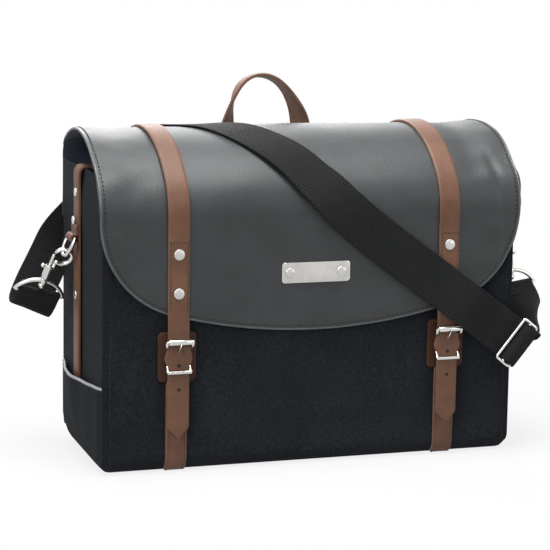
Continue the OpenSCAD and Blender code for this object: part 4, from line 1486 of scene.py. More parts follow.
def plate(w: float, h: float, r: float, thickness: float) -> Shape:
    """A flat piece with round corners in the XZ plane, facing -Y, its face at y = -thickness: rings from the
    middle of the face out to the edge, a rounded rim and the back.

    Args:
        w: Width.
        h: Height.
        r: Corner radius.
        thickness: Thickness.

    Returns:
        The closed shape.
    """
    loop = rounded_rectangle(w / 2, h / 2, r, 9)
    rings = (  # share of the loop, depth as a share of the thickness, and how far the ring is drawn in
        (1e-6, -1.0, 0.0), (0.5, -1.0, 0.0), (0.9, -1.0, 0.0), (1.0, -1.0, 0.9), (1.0, -0.93, 0.3),
        (1.0, -0.7, 0.0), (1.0, -0.3, 0.0), (1.0, 0.0, 0.2), (1e-6, 0.0, 0.0),
    )
    layers = []
    for share, depth, inset in rings:
        ring = loop * share * (1 - inset * min(thickness, 1.2) / (min(w, h) / 2) * 0.5)
        layers.append(on_plane(ring, 1, depth * thickness))
    p = np.stack(layers, 1)
    uv = p[..., [0, 2]]
    return Shape(p.reshape(-1, 3), grid_quads(p.shape[0], p.shape[1], True)[:, ::-1], uv.reshape(-1, 2))


def sewn_box(w: float, h: float, centre: Sequence[float], facing: int) -> Shape:
    """Four rows of stitches on a rectangle in the XZ plane.

    Args:
        w: Width.
        h: Height.
        centre: Its middle.
        facing: -1 where the leather looks to the front, 1 to the back.

    Returns:
        All stitches as one shape.
    """
    x, y, z = centre
    q = np.array([[-1, -1], [1, -1], [1, 1], [-1, 1], [-1, -1]]) * [w / 2, h / 2]
    ring = on_plane(q + [x, z], 1, y)
    rows = zip(ring[:-1], ring[1:])
    return merged([stitches(np.linspace(a, b, 20), [0, facing, 0], LEATHER_SEAM) for a, b in rows])


def dome(r: float, h: float) -> Shape:
    """A rivet head about Z: a rounded rim, a fine groove and a low dome within it.

    Args:
        r: Radius.
        h: Height.

    Returns:
        The shape.
    """
    rim = [
        [0, -0.2], [0.93 * r, -0.2], [r, 0.12 * h], [r, 0.34 * h],
        [0.95 * r, 0.58 * h], [0.86 * r, 0.70 * h], [0.78 * r, 0.66 * h],
    ]
    a = np.linspace(0.2, np.pi / 2, 8)
    top = np.stack([0.74 * r * np.cos(a), h * (0.6 + 0.4 * np.sin(a))], -1)
    return lathe(np.concatenate([rim, top]), 36)


def hole(r: float) -> Shape:
    """A punched hole about Z: a dished disc with a soft lip, dark as painted shade inside the hole."""
    wide = r * 1.05
    return lathe([[0, -0.2], [wide, -0.2], [wide, 0.06], [r * 0.86, 0.10], [r * 0.8, 0.04], [0, 0.03]], 24)


@dataclass
class ClosureStraps:
    """The two closure straps with their rivets, buckles, patches, lower straps and magnet snaps."""

    maker: Maker
    flap: Flap
    x: float = 131.0
    width: float = 20.0
    thick: float = 3.0
    tip_z: float = 32.0
    back_y: float = -80.2
    front_y: float = -83.2
    flap_strap_y: float = -82.0
    bar_y: float = -78.85
    bar_z: float = 108.0
    roller_y: float = -86.6
    roller_z: float = 122.0
    keeper_y: float = -84.5
    keeper_z: float = 94.0
    axle_r: float = 1.5
    rivets: Pair = (201.0, 165.5)
    point_h: float = 10.0
    sewn: Pair = (150.0, 212.0)
    hole_r: float = 1.7
    patch_w: float = 36.0
    patch_h: float = 46.0
    patch_low: float = 84.0
    patch_t: float = 2.0
    lower_half_w: float = 9.9
    lower_t: float = 2.2
    panel_y: float = -75.0

    def strap_line(self) -> Array:
        """The strap's outer middle line in the side view, from the rear seam to the tip.

        Returns:
            Rows of y and z.
        """
        line = self.flap.line
        s = np.linspace(2, line.length_at(np.array(152.0)), 150)
        x = np.full_like(s, self.x)
        y, z, _ = line.at(s, self.thick + 0.35 * self.flap.lift(x, s) * smoothstep(s, 70, 120))
        down = [
            [-82.5, 145.0], [-83.0, 138.0], [self.front_y, 130.0], [-83.1, self.roller_z],
            [-83.35, self.bar_z], [-83.1, self.keeper_z], [-83.3, 80.0], [-83.3, 60.0], [self.front_y, self.tip_z],
        ]
        return through(np.concatenate([np.stack([y, z], -1)[::4], down]), 300)

    def build(self) -> None:
        """Makes everything for both sides."""
        for side in Side:
            self.strap(side)
            self.fittings(side)
            self.buckle(side)
            self.patch(side)

    def strap(self, side: Side) -> None:
        """One strap with its stitched edges, stitch box and holes.

        Args:
            side: Which end of the bag.
        """
        line = self.strap_line()
        cx = side.value * self.x
        path = on_plane(line, 0, cx)
        y, z = line.T
        above = np.clip(z - self.tip_z, 0, None)
        front = y < 0
        point = np.where(front & (above < self.point_h), np.clip(above / self.point_h, 0.01, 1) ** 0.9, 1.0)
        full = 1.0 + 0.28 * front * smoothstep(z, 96, 106) * (1 - smoothstep(z, 106, 119))
        leather = strip(path, [1, 0, 0], self.width / 2 * point * full, self.thick)
        parts = edged(leather, len(path))
        inset = self.width / 2 - 2.0
        low = front & (z < self.sewn[1]) & (z > self.sewn[0])
        rows = [path[low] + [edge * inset, -0.02, 0] for edge in (-1, 1)]
        across = np.linspace(-inset, inset, 12)
        rows.append(np.stack([cx + across, np.full(12, self.flap_strap_y), np.full(12, self.sewn[1])], -1))
        parts += [(stitches(row, [0, -1, 0], STRAP_SEAM), BROWN_THREAD) for row in rows]
        # Each hole is a dark disc: painted shade, not an opening.
        for hole_z in (self.keeper_z + 6, self.keeper_z - 16):
            parts.append((hole(self.hole_r).moved(toward([0, -1, 0]), [cx, -83.3, hole_z]), HOLE_PAINTED_SHADE))
        nodes = [f"{side.word}_closure_strap", f"{side.word}_strap_anchor"]
        blend = ("bag", "flap", *self.flap.bend)
        self.maker.piece(f"{side.word}_closure_leather", parts, None, nodes, blend=blend)

    def fittings(self, side: Side) -> None:
        """Rivets and the magnet snap's two halves.

        Args:
            side: Which end of the bag.
        """
        cx, word = side.value * self.x, side.word
        front, back = toward([0, -1, 0]), toward([0, 1, 0])
        heads = [(dome(*STRAP_HEAD).moved(front, [cx, self.flap_strap_y, z]), PLATE_STEEL) for z in self.rivets]
        backs = [(dome(*RIVET_BACK).moved(back, [cx, LINING_FACE_Y, z]), NICKEL) for z in self.rivets]
        self.maker.piece(f"{word}_rivet_heads", heads + backs, "flap", [f"{word}_closure_rivets"])
        z = (self.bar_z + self.keeper_z) / 2 - 0.5
        stud = lathe([[0, 0], [3.9, 0], [4.5, 0.3], [4.5, 1.5], [0, 1.7]], 32)
        stud = stud.moved(back, [cx, self.back_y, z])
        self.maker.piece(f"{word}_magnet_stud", [(stud, NICKEL)], "flap", [f"{word}_snap_stud"])
        socket = lathe([[0, 0], [4.4, 0], [4.5, 0.2], [4.4, 1.1], [3.4, 1.2], [3.2, 0.9], [0, 0.9]], 32)
        socket = socket.moved(front, [cx, self.panel_y - self.patch_t, z])
        self.maker.piece(f"{word}_magnet_socket", [(socket, NICKEL)], "bag", [f"{word}_snap_socket"])

    def buckle(self, side: Side) -> None:
        """The buckle: wire sides that dip behind the strap to the middle bar, axle, keeper, roller and prong.

        Args:
            side: Which end of the bag.
        """
        cx, word, sideways = side.value * self.x, side.word, toward([1, 0, 0])
        ry, rz, by, bz = self.roller_y, self.roller_z, self.bar_y, self.bar_z
        ky, kz = self.keeper_y, self.keeper_z
        side_line = [
            [ry, rz + 0.4], [ry + 0.9, rz - 3.2], [by - 1.7, bz + 6.4], [by + 0.3, bz + 3.0], [by + 0.5, bz],
            [by + 0.3, bz - 3.6], [by - 1.6, bz - 7.4], [ky + 0.8, kz + 2.4], [ky, kz],
        ]
        parts: Parts = []
        y, z = through(side_line, 40).T
        wide = np.interp(z, [94, 99, 103, 112, 117, 122], [10.6, 10.7, 9.6, 9.6, 12.2, 12.1])
        thick = 1.05 + 0.35 * bump(z, kz, 4.0) + 0.65 * bump(z, rz, 4.0)
        for edge in (-1, 1):
            parts.append((rod(np.stack([cx + edge * wide, y, z], -1), thick, 14), NICKEL))
        for y, z, r, half in ((ry, rz, self.axle_r, 12.7), (by, bz, 1.0, 9.8), (ky, kz, 1.75, 11.3)):
            ends = np.linspace(-half, half, 8)
            bar = np.stack([cx + ends, np.full(8, y), np.full(8, z)], -1)
            parts.append((rod(bar, r, 14), NICKEL))
        self.maker.piece(f"{word}_buckle_wire", parts, "flap", [f"{word}_buckle_frame"])
        half = [[1.56, -10.5], [2.6, -10.5], [2.8, -10.1]]
        wall = half + [[r, -z] for r, z in half[::-1]] + half[:1]
        tube = lathe(wall, 36).moved(sideways, [cx, ry, rz])
        self.maker.piece(f"{word}_roller_tube", [(tube, NICKEL)], f"{word}_roller", [f"{word}_buckle_roller"])
        reach = np.hypot(ry - by, rz - bz)
        lean = np.arctan2(rz - bz, by - ry) - np.arcsin(4.1 / reach)
        d = np.array([0, -np.cos(lean), np.sin(lean)])
        t = np.linspace(1.0, reach + 0.7, 16)
        pin = np.array([cx, by, bz]) + t[:, None] * d
        eye = lathe([[1.05, -1.2], [1.6, -1.2], [1.6, 1.2], [1.05, 1.2], [1.05, -1.2]], 28)
        eye = eye.moved(sideways, [cx, by, bz])
        radius = 1.0 - 0.45 * smoothstep(t, reach - 3, reach + 0.7)
        parts = [(rod(pin, radius, 14), NICKEL), (eye, NICKEL)]
        self.maker.piece(f"{word}_prong_pin", parts, f"{word}_prong", [f"{word}_buckle_prong"])

    def patch(self, side: Side) -> None:
        """The stitched patch behind the buckle, and the strap that runs down from it under the bag.

        Args:
            side: Which end of the bag.
        """
        cx = side.value * self.x
        w, h, low = self.patch_w, self.patch_h, self.patch_low
        leather = plate(w, h, 5.0, self.patch_t).moved(None, [cx, self.panel_y, low + h / 2])
        sewn = sewn_box(w - 5, h - 5, [cx, -77.02, low + h / 2], -1)
        parts = [(leather, DARK_LEATHER), (sewn, BROWN_THREAD)]
        self.maker.piece(f"{side.word}_patch_leather", parts, "bag", [f"{side.word}_buckle_patch"])
        turn_in = arc(-61.0, 14.0, 16.2, 180, 235, 14)
        upper = np.stack([np.full(30, self.panel_y - self.lower_t), np.linspace(low - 0.3, 15, 30)], -1)
        line = np.concatenate([upper, turn_in])
        path = on_plane(line, 0, cx)
        below = edged(strip(path, [1, 0, 0], self.lower_half_w, self.lower_t), len(path))
        out = np.gradient(line, axis=0)
        normal = np.stack([np.zeros(len(line)), out[:, 1], -out[:, 0]], -1)
        for edge in (-1, 1):
            below.append((stitches(path + [edge * SEAM_OFFSET, 0, 0], normal, LOWER_SEAM), BROWN_THREAD))
        self.maker.piece(f"{side.word}_lower_leather", below, "bag", [f"{side.word}_lower_strap"])


@dataclass
class NamePlate:
    """The bare name plate with its two rivets."""

    maker: Maker
    width: float = 66.0
    height: float = 19.0
    thick: float = 1.5
    z: float = 180.0
    face_y: float = -79.0
    rivet_x: float = 25.0

    def build(self) -> None:
        """Makes the plate and the rivets."""
        body = plate(self.width, self.height, 3.0, self.thick).moved(None, [0, self.face_y, self.z])
        self.maker.piece("plain_plate", [(body, PLATE_STEEL)], "flap", ["name_plate"])
        parts = []
        for s in (-1, 1):
            spot = [s * self.rivet_x, self.face_y - self.thick, self.z]
            parts.append((dome(*PLATE_HEAD).moved(toward([0, -1, 0]), spot), PLATE_STEEL))
            parts.append((dome(*RIVET_BACK).moved(toward([0, 1, 0]), [spot[0], LINING_FACE_Y, self.z]), NICKEL))
        self.maker.piece("plate_rivet_heads", parts, "flap", ["name_plate_rivets"])


@dataclass
class Handle:
    """The carrying handle: a strip that lies flat on its tabs, turns on edge and rises to a slack, leaning arch."""

    maker: Maker
    foot_x: float = 35.0
    y: float = 82.8
    width: float = 20.0
    thick: float = 3.5
    bend: Tuple[Point, Point] = ((0, 84, 256), (0, 84, 284))
    tab_w: float = 26.0
    tab_h: float = 40.0
    tab_t: float = 2.6
    tab_at: Pair = (78.0, 242.0)

    def build(self) -> None:
        """Makes the strip, the tabs and their stitching."""
        foot_x = self.foot_x
        feet = [[-foot_x, 228], [-foot_x, 245], [-foot_x, 262], [-foot_x - 2.6, 284], [-foot_x - 1.6, 301]]
        over = [[-34.6, 313], [-31.2, 325], [-25.4, 336.6], [-16.6, 344.6], [-4.5, 348], [5.2, 346.8]]
        fall = [[13, 343.4], [24.6, 333.2], [31.8, 322.6], [36.6, 312], [39.2, 301], [38.4, 284]]
        x, z = through(feet + over + fall + [[foot_x, 262], [foot_x, 245], [foot_x, 228]], 160).T
        path = np.stack([x, self.y - 1.5 * smoothstep(z, 265, 320), z], -1)
        t = unit(np.gradient(path, axis=0))
        turned = (smoothstep(path[:, 2], 262, 345) * np.pi / 2)[:, None]
        leg = np.where(path[:, :1] <= 0, 1.0, -1.0) * np.array([1.0, 0, 0])
        lean = np.cos(turned) * leg + np.sin(turned) * np.array([0, 1.0, -0.15])
        across = unit(lean - (lean * t).sum(-1, keepdims=True) * t)
        leather = strip(path, across, self.width / 2, self.thick)
        # The handle's lighter leather tone is painted highlight.
        parts: Parts = [(leather, HANDLE_LEATHER_LIT_TONE)]
        out = np.cross(t, across)
        for edge in (-1, 1):
            parts.append((stitches(path + across * edge * SEAM_OFFSET, out, HANDLE_SEAM), BROWN_THREAD))
        self.maker.piece("handle_leather", parts, None, ["handle"], blend=("bag", "handle", *self.bend))
        tabs: Parts = []
        tab = plate(self.tab_w, self.tab_h, 4.0, self.tab_t)
        y, z = self.tab_at
        for s in (-1, 1):
            tabs.append((tab.moved(np.diag([1.0, -1.0, 1.0]), [s * foot_x, y, z]), BROWN_LEATHER))
            tabs.append((sewn_box(self.tab_w - 4, self.tab_h - 4, [s * foot_x, 80.62, z], 1), BROWN_THREAD))
        self.maker.piece("handle_tab_leather", tabs, "bag", ["handle_tabs"])


@dataclass
class SideStraps:
    """The leather side straps with their ring loops, rivets and D-rings."""

    maker: Maker
    face_x: float = 205.8
    loop_x: float = 209.45
    loop_z: float = 207.5
    width: float = 20.0
    ring_r: float = 13.0
    ring_drop: float = 18.0
    ring_tilt: float = 25.0
    wire_r: float = 1.75
    strap_t: float = 2.5
    lap_t: float = 2.0
    wrap_r: float = 4.15
    lap_lift: float = 2.1
    rivets: Point = (249.0, 223.0, 154.0)
    lap_rivet: float = 223.0
    top_points: Tuple[Pair, ...] = (
        (191.8, 273.6), (197.0, 274.3), (202.0, 273.4), (205.0, 269.6), (205.8, 264.0), (205.8, 260.0),
    )

    def build(self) -> None:
        """Makes both sides."""
        for side in Side:
            flip, word = np.diag([float(side.value), 1.0, 1.0]), side.word
            over = through(self.top_points, 40)
            down = np.stack([np.full(110, self.face_x), np.linspace(258, 40, 110)], -1)
            path = on_plane(np.concatenate([over, down]), 1)
            parts = [(strip(path, [0, 1, 0], self.width / 2, self.strap_t).moved(flip), BROWN_LEATHER)]
            for edge in (-1, 1):
                row = path[len(over):] + [0, edge * SEAM_OFFSET, 0]
                parts.append((stitches(row, [1, 0, 0], LEATHER_SEAM).moved(flip), BROWN_THREAD))
            wrap = arc(self.loop_x, self.loop_z, self.wrap_r, 105, -105, 30)
            seat = self.face_x + self.lap_lift
            lap = np.concatenate([[[seat, 219.0], [seat, 215.0]], wrap, [[seat, 200.0], [seat, 196.0]]])
            loop = on_plane(through(lap, 60), 1)
            parts.append((strip(loop, [0, 1, 0], self.width / 2 - 0.4, self.lap_t).moved(flip), BROWN_LEATHER))
            self.maker.piece(f"{word}_side_leather", parts, "bag", [f"{word}_side_strap"])
            heads: Parts = []
            for z in self.rivets:
                x = seat if z == self.lap_rivet else self.face_x
                heads.append((dome(*SIDE_HEAD).moved(toward([1, 0, 0]), [x, 0, z]).moved(flip), NICKEL))
            self.maker.piece(f"{word}_side_rivet_heads", heads, "bag", [f"{word}_side_rivets"])
            ring = [(self.ring().moved(flip), NICKEL)]
            self.maker.piece(f"{word}_ring_wire", ring, f"{word}_d_ring", [f"{word}_d_ring"])

    def ring(self) -> Shape:
        """A D-ring: straight bar, short legs and a half circle as one closed wire, swung out by its tilt.

        Returns:
            The right one's shape.
        """
        legs = self.ring_drop - self.ring_r
        bow = arc(0, -legs, self.ring_r, 180, 360, 40)
        corner = 2.2
        bar = np.stack([np.linspace(self.ring_r - corner, corner - self.ring_r, 12), np.zeros(12)], -1)
        right = arc(self.ring_r - corner, -corner, corner, 0, 90, 6)[:-1]
        left = arc(corner - self.ring_r, -corner, corner, 90, 180, 6)[1:]
        shape = rod(on_plane(np.concatenate([bow, right, bar, left]), 0), self.wire_r, 16, True)
        return shape.moved(turn(-self.ring_tilt, 1), [self.loop_x, 0, self.loop_z])


@dataclass
class SnapHooks:
    """The swivel loops, snap hooks, bolts and springs at both ends of the shoulder strap.

    play is the gap between moving parts, and turns is the swing and lean of the left and right hook in degrees.
    """

    maker: Maker
    eye_r: float = 8.4
    wire_r: float = 1.9
    in_eye: float = 2.2
    barrel_r: float = 4.0
    top: float = -12.0
    end: float = -28.0
    bar_z: float = -46.0
    play: float = 0.3
    ball_r: float = 3.2
    boss_h: float = 5.4
    loop_w: float = 46.0
    loop_h: float = 15.0
    spring_z: Pair = (0.8, 11.7)
    turns: Tuple[Pair, Pair] = ((30.7, 13.5), (-4.0, 8.5))

    def place(self, side: Side) -> Tuple[Array, Array]:
        """Rotation and origin of a hook's own axes, in which it hangs down its barrel's axis.

        Args:
            side: Which end of the bag.

        Returns:
            Matrix and origin.
        """
        rings = SideStraps(self.maker)
        tilt = np.radians(rings.ring_tilt)
        x = rings.loop_x + rings.ring_drop * np.sin(tilt)
        wire = np.array([side.value * x, 0, rings.loop_z - rings.ring_drop * np.cos(tilt)])
        swing, lean = self.turns[0 if side is Side.LEFT else 1]
        m = turn(lean, 1) @ turn(swing, 0)
        if side is Side.RIGHT:
            m = np.diag([-1.0, 1, 1]) @ m
        return m, wire + m @ np.array([-self.eye_r, 0, -self.in_eye])

    def build(self) -> None:
        """Makes both ends."""
        for side in Side:
            m, o = self.place(side)
            word = side.word
            hook, bolt, spring, loop = (
                [(s.moved(m, o), NICKEL) for s in shapes]
                for shapes in (self.hook(), self.bolt(), [self.spring()], self.loop())
            )
            self.maker.piece(f"{word}_hook_body", hook, f"{word}_hook", [f"{word}_snap_hook"])
            self.maker.piece(f"{word}_bolt_pin", bolt, f"{word}_bolt", [f"{word}_hook_bolt"])
            low, high = (o + m @ np.array([0, 0, self.end + z]) for z in self.spring_z)
            blend = (f"{word}_hook", f"{word}_bolt", low, high)
            self.maker.piece(f"{word}_coil_spring", spring, None, [f"{word}_bolt_spring"], blend=blend)
            self.maker.piece(f"{word}_loop_wire", loop, "bag", [f"{word}_swivel_loop"])

    def hook(self) -> List[Shape]:
        """The hook: a bow beside the barrel, the turned barrel with a shallow bore, the shank and its ball.

        Returns:
            Shapes in the hook's own axes.
        """
        a = np.radians(np.linspace(-122, 160, 50))
        bow = np.stack([self.eye_r + self.eye_r * np.cos(a), np.zeros(50), self.eye_r * np.sin(a)], -1)
        root = np.array([[bow[0, 0] - 0.4, 0, self.top - 3.0], [bow[0, 0] - 0.2, 0, self.top + 1.5]])
        thick = self.wire_r * (1.0 - 0.35 * smoothstep(np.linspace(0, 1, 50), 0.93, 1.0))
        radius = np.interp(np.linspace(0, 1, 70), np.linspace(0, 1, 50), thick)
        arm = rod(through(np.concatenate([root, bow[1:]]), 70), radius, 16)
        low, top, r = self.end, self.top, self.barrel_r
        wall = [
            [0, low], [2.6, low], [3.3, low + 0.4], [3.6, low + 2.0], [r, low + 3.5], [r, top - 2.0],
            [3.7, top - 0.6], [3.3, top], [1.9, top], [1.8, top - 2.0], [0, top - 2.0],
        ]
        barrel = lathe(wall, 36)
        ball_z = low - self.play - self.boss_h - self.play - self.ball_r
        shank = rod(np.stack([np.zeros(6), np.zeros(6), np.linspace(low + 0.5, ball_z, 6)], -1), 1.75, 16)
        b = np.linspace(-np.pi / 2, np.pi / 2, 16)
        ball = lathe(np.stack([self.ball_r * np.cos(b), ball_z + self.ball_r * np.sin(b)], -1), 28)
        return [arm, barrel, shank, ball]

    def bolt(self) -> List[Shape]:
        """The bolt: a rod with a rounded tip and a knob on its side.

        Returns:
            Shapes in the hook's own axes.
        """
        tip = self.eye_r * np.sin(np.radians(20)) - self.wire_r - self.play
        low = self.top - 4.0
        pin = lathe([[0, low], [1.6, low], [1.6, tip - 0.8], [1.3, tip - 0.2], [0.7, tip], [0, tip]], 24)
        z = low + 2.0
        b = np.linspace(-np.pi / 2, np.pi / 2, 12)
        knob = lathe(np.stack([2.1 * np.cos(b), 2.1 * np.sin(b)], -1), 22).moved(None, [-6.0, 0, z])
        neck = rod(np.stack([np.linspace(-1, -5.5, 5), np.zeros(5), np.full(5, z)], -1), 1.3, 14)
        return [pin, knob, neck]

    def spring(self) -> Shape:
        """The bolt's spring, which the bolt presses together as it comes back: a wire helix of one fixed length
        below the bolt.

        Returns:
            The shape in the hook's own axes.
        """
        t = np.linspace(0, 1, 140)
        coils = 6
        a = 2 * np.pi * coils * t
        line = np.stack([1.3 * np.cos(a), 1.3 * np.sin(a), self.end + 1.1 + t * 10.3], -1)
        return rod(line, 0.25, 8)

    def loop(self) -> List[Shape]:
        """The swivel loop: a shallow bow and a straight bar as one closed wire, and a boss on the bow.

        Returns:
            Shapes in the hook's own axes.
        """
        boss_top, w, h = self.end - self.play, self.loop_w, self.loop_h
        top = self.bar_z + h
        r = ((w / 2) ** 2 + h**2) / (2 * h)
        a = np.degrees(np.arcsin(w / 2 / r))
        bow = arc(0, top - r, r, 90 - a, 90 + a, 50)
        bar = np.stack([np.linspace(-w / 2, w / 2, 24)[1:-1], np.full(22, top - h)], -1)
        flat = resampled(np.concatenate([bow, bar, bow[:1]]), 1.6)[:-1]
        wire = rod(on_plane(flat, 1), self.wire_r, 16, True)
        low = boss_top - self.boss_h
        wall = [
            [1.85, low], [3.4, low], [3.9, low + 0.7], [3.9, boss_top - 0.7],
            [3.4, boss_top], [1.85, boss_top], [1.85, low],
        ]
        return [wire, lathe(wall, 32)]


@dataclass
class ShoulderStrap:
    """The webbing's three runs and the slider.

    The front run's blend is pivot and its point fold_row; the doubled run twists between twist's two points, which
    are its blend.
    """

    maker: Maker
    hooks: SnapHooks
    width: float = 40.0
    thick: float = 1.5
    slider_at: Point = (199.5, -88.0, 105.8)
    slider_turn: float = 39.3
    pivot: Point = (-98.4, 64.3, 299.5)
    fold_row: int = 16
    twist: Tuple[Point, Point] = ((232, -6, 143), (210, -81, 98))

    # Routes of the three runs: rows of a point in mm and of the direction across the webbing there.
    BACK = [
        [-235.6, 25.9, 150.5, 97, 0, -23], [-236.9, 28.5, 145, 97, 0, -23], [-238.6, 32, 139, 96, 0, -28],
        [-240.5, 36, 135.5, 92, 0, -40], [-241, 40.2, 136.5, 90, 0, -44], [-237.5, 47.5, 144.5, 88, 0, -47],
        [-222, 64, 166.5, 86, 0, -50], [-211.5, 75.5, 181, 83, 2, -56], [-204, 81.5, 192.5, 78, 3, -62],
        [-188, 84, 210, 70, 0, -70], [-165, 84, 232, 68, 0, -73], [-140, 84, 255, 66, 0, -75],
        [-120, 84.5, 274, 66, 8, -72], [-114.5, 82.5, 282.5, 70, 22, -65], [-109, 77.8, 289.8, 72, 34, -54],
        [-102, 69.5, 296.5, 82, 46, -26], [-98.5, 64.5, 299.4, 84, 48, -18],
    ]
    FRONT = [
        [-98.3, 64.2, 299.6, 84, 48, -18], [-94.8, 59.2, 300.9, 84, 48, -14], [-84, 42, 303.9, 82, 52, -6],
        [-68, 18, 306, 86, 50, 3], [-54, -8, 304.1, 86, 48, 15], [-38, -33, 296.8, 83, 50, 26],
        [-20, -54.6, 284.9, 78, 49, 40], [-10, -64.6, 275.6, 75, 45, 48], [0, -72.6, 264.6, 72, 38, 58],
        [10, -79, 255, 71, 27, 64], [20, -82.5, 244, 69, 14, 71], [31, -83.5, 233.5, 65, 5, 76],
        [42, -83.5, 224, 60, 0, 80], [75, -84, 198.5, 60, 0, 80], [105, -85, 176.5, 60, 0, 80],
        [131, -88.5, 157, 60, 0, 80], [150, -92, 142.5, 60, 0, 80], [159, -89.8, 135.9, 61, 0, 79],
        [167, -86.0, 130.1, 62, 0, 78], [175, -84.6, 124.3, 62, 0, 78], [186, -84.4, 116.2, 63, 0, 77],
        [193.3, -84.5, 110.9, 63, 0, 77], [199.5, -91.4, 105.8, 63, 0, 77],
        [205.2, -91.0, 101.2, 63, 0, 77], [207.4, -90.0, 99.4, 63, 0, 77],
    ]
    RETURN = [
        [207.6, -89.0, 99.3, 63, 0, 77], [208.9, -86.3, 98.4, 63, 0, 77], [209.9, -83.2, 98.0, 62, -4, 77],
        [213, -78.6, 98.0, 60, -8, 78], [217.5, -71, 99.5, 54, -12, 83], [221.5, -58, 104.5, 50, -6, 86],
        [225.8, -42, 112.5, 56, 0, 83], [230.5, -25.5, 124.5, 76, 0, 65], [233.6, -12, 137.4, 97, 0, 20],
        [232.72, -5.27, 143.21, 99, 0, 14.8],
    ]

    def band(self, route: Rows, thick: float, count: int) -> Tuple[Shape, Array]:
        """A band along a route: a spline through its points and cross directions, cupped a little across.

        Args:
            route: Rows of point and cross direction.
            thick: Thickness.
            count: Sections.

        Returns:
            The shape and its middle line.
        """
        rows = np.array(route, float)
        rows[:, 3:] = unit(rows[:, 3:])
        line = through(rows, count)
        path, hint = line[:, :3], line[:, 3:]
        t = unit(np.gradient(path, axis=0))
        across = unit(hint - (hint * t).sum(-1, keepdims=True) * t)
        up = np.cross(t, across)
        w = np.linspace(-1, 1, 17)
        beside, above = self.width / 2 * w, thick / 2 - 0.25 * np.abs(w) ** 6
        p = path[:, None] + across[:, None] * beside[None, :, None] + up[:, None] * above[None, :, None]
        uv = np.stack(np.meshgrid(run_of(path), beside, indexing="ij"), -1)
        return slab(p, thick, uv), path

    def sleeve(self, side: Side, end: Sequence[float]) -> Shape:
        """The webbing's turn round a swivel loop's bar: a strip on a drop-shaped path square to the bar.

        Args:
            side: Which end.
            end: The run's last row, point and cross direction.

        Returns:
            The shape.
        """
        m, o = self.hooks.place(side)
        bar, d = o + m @ np.array([0, 0, self.hooks.bar_z]), m @ np.array([1.0, 0, 0])
        tail = np.array(end[:3]) + d * ((bar - np.array(end[:3])) @ d)
        e1 = unit(bar - tail)
        e2 = np.cross(d, e1)
        reach, r = 13.0, self.hooks.wire_r + 2.0
        start = bar - reach * e1
        drop = [[-2.2, 0], [-2.3, 4.5], [-3.0, 9.5], [-r, reach], [-0.7 * r, reach + 0.7 * r], [0, reach + r]]
        line = np.array(drop + [[-a, b] for a, b in drop[-2::-1]])
        path = through(start + line[:, :1] * e2 + line[:, 1:] * e1, 60)
        return strip(path, d, self.width / 2, 1.4)

    def build(self) -> None:
        back, back_path = self.band(self.BACK, self.thick, 160)
        front, front_path = self.band(self.FRONT, self.thick, 260)
        ret, _ = self.band(self.RETURN, 2 * self.thick, 90)
        parts = [(back, WEBBING), (self.sleeve(Side.LEFT, self.BACK[0]), WEBBING)]
        run_back = self.maker.piece("webbing_back_run", parts, "bag", ["webbing_back"])
        blend = ("bag", "strap_front", self.pivot, front_path[self.fold_row])
        parts = [(front, WEBBING)]
        run_front = self.maker.piece("webbing_front_run", parts, None, ["webbing_front"], blend=blend)
        parts = [(ret, WEBBING), (self.sleeve(Side.RIGHT, self.RETURN[-1]), WEBBING)]
        blend = ("bag", "strap_front", *self.twist)
        run_return = self.maker.piece("webbing_return_run", parts, None, ["webbing_return"], blend=blend)
        slider = self.slider()
        tuple(back_path[0] * MM)
        self.width * MM
        (back_path * MM).tolist()
        tuple(front_path[0] * MM)
        self.width * MM
        (front_path * MM).tolist()

    def slider(self) -> bpy.types.Object:
        """The slider: a rounded frame of wire with a middle bar.

        Returns:
            The piece.
        """
        half_l, half_p, corner, r = 22.5, 8.0, 2.0, 1.5
        loop = rounded_rectangle(half_p, half_l, corner, 6)
        loop = resampled(np.concatenate([loop, loop[:1]]), 1.2)[:-1]
        wire = rod(on_plane(loop, 1), r, 16, True)
        bar = rod(np.stack([np.zeros(8), np.zeros(8), np.linspace(-half_l, half_l, 8)], -1), r, 16)
        m = turn(self.slider_turn, 1)
        parts = [(s.moved(m, self.slider_at), NICKEL) for s in (wire, bar)]
        return self.maker.piece("slider_frame", parts, "slider", ["slider"])


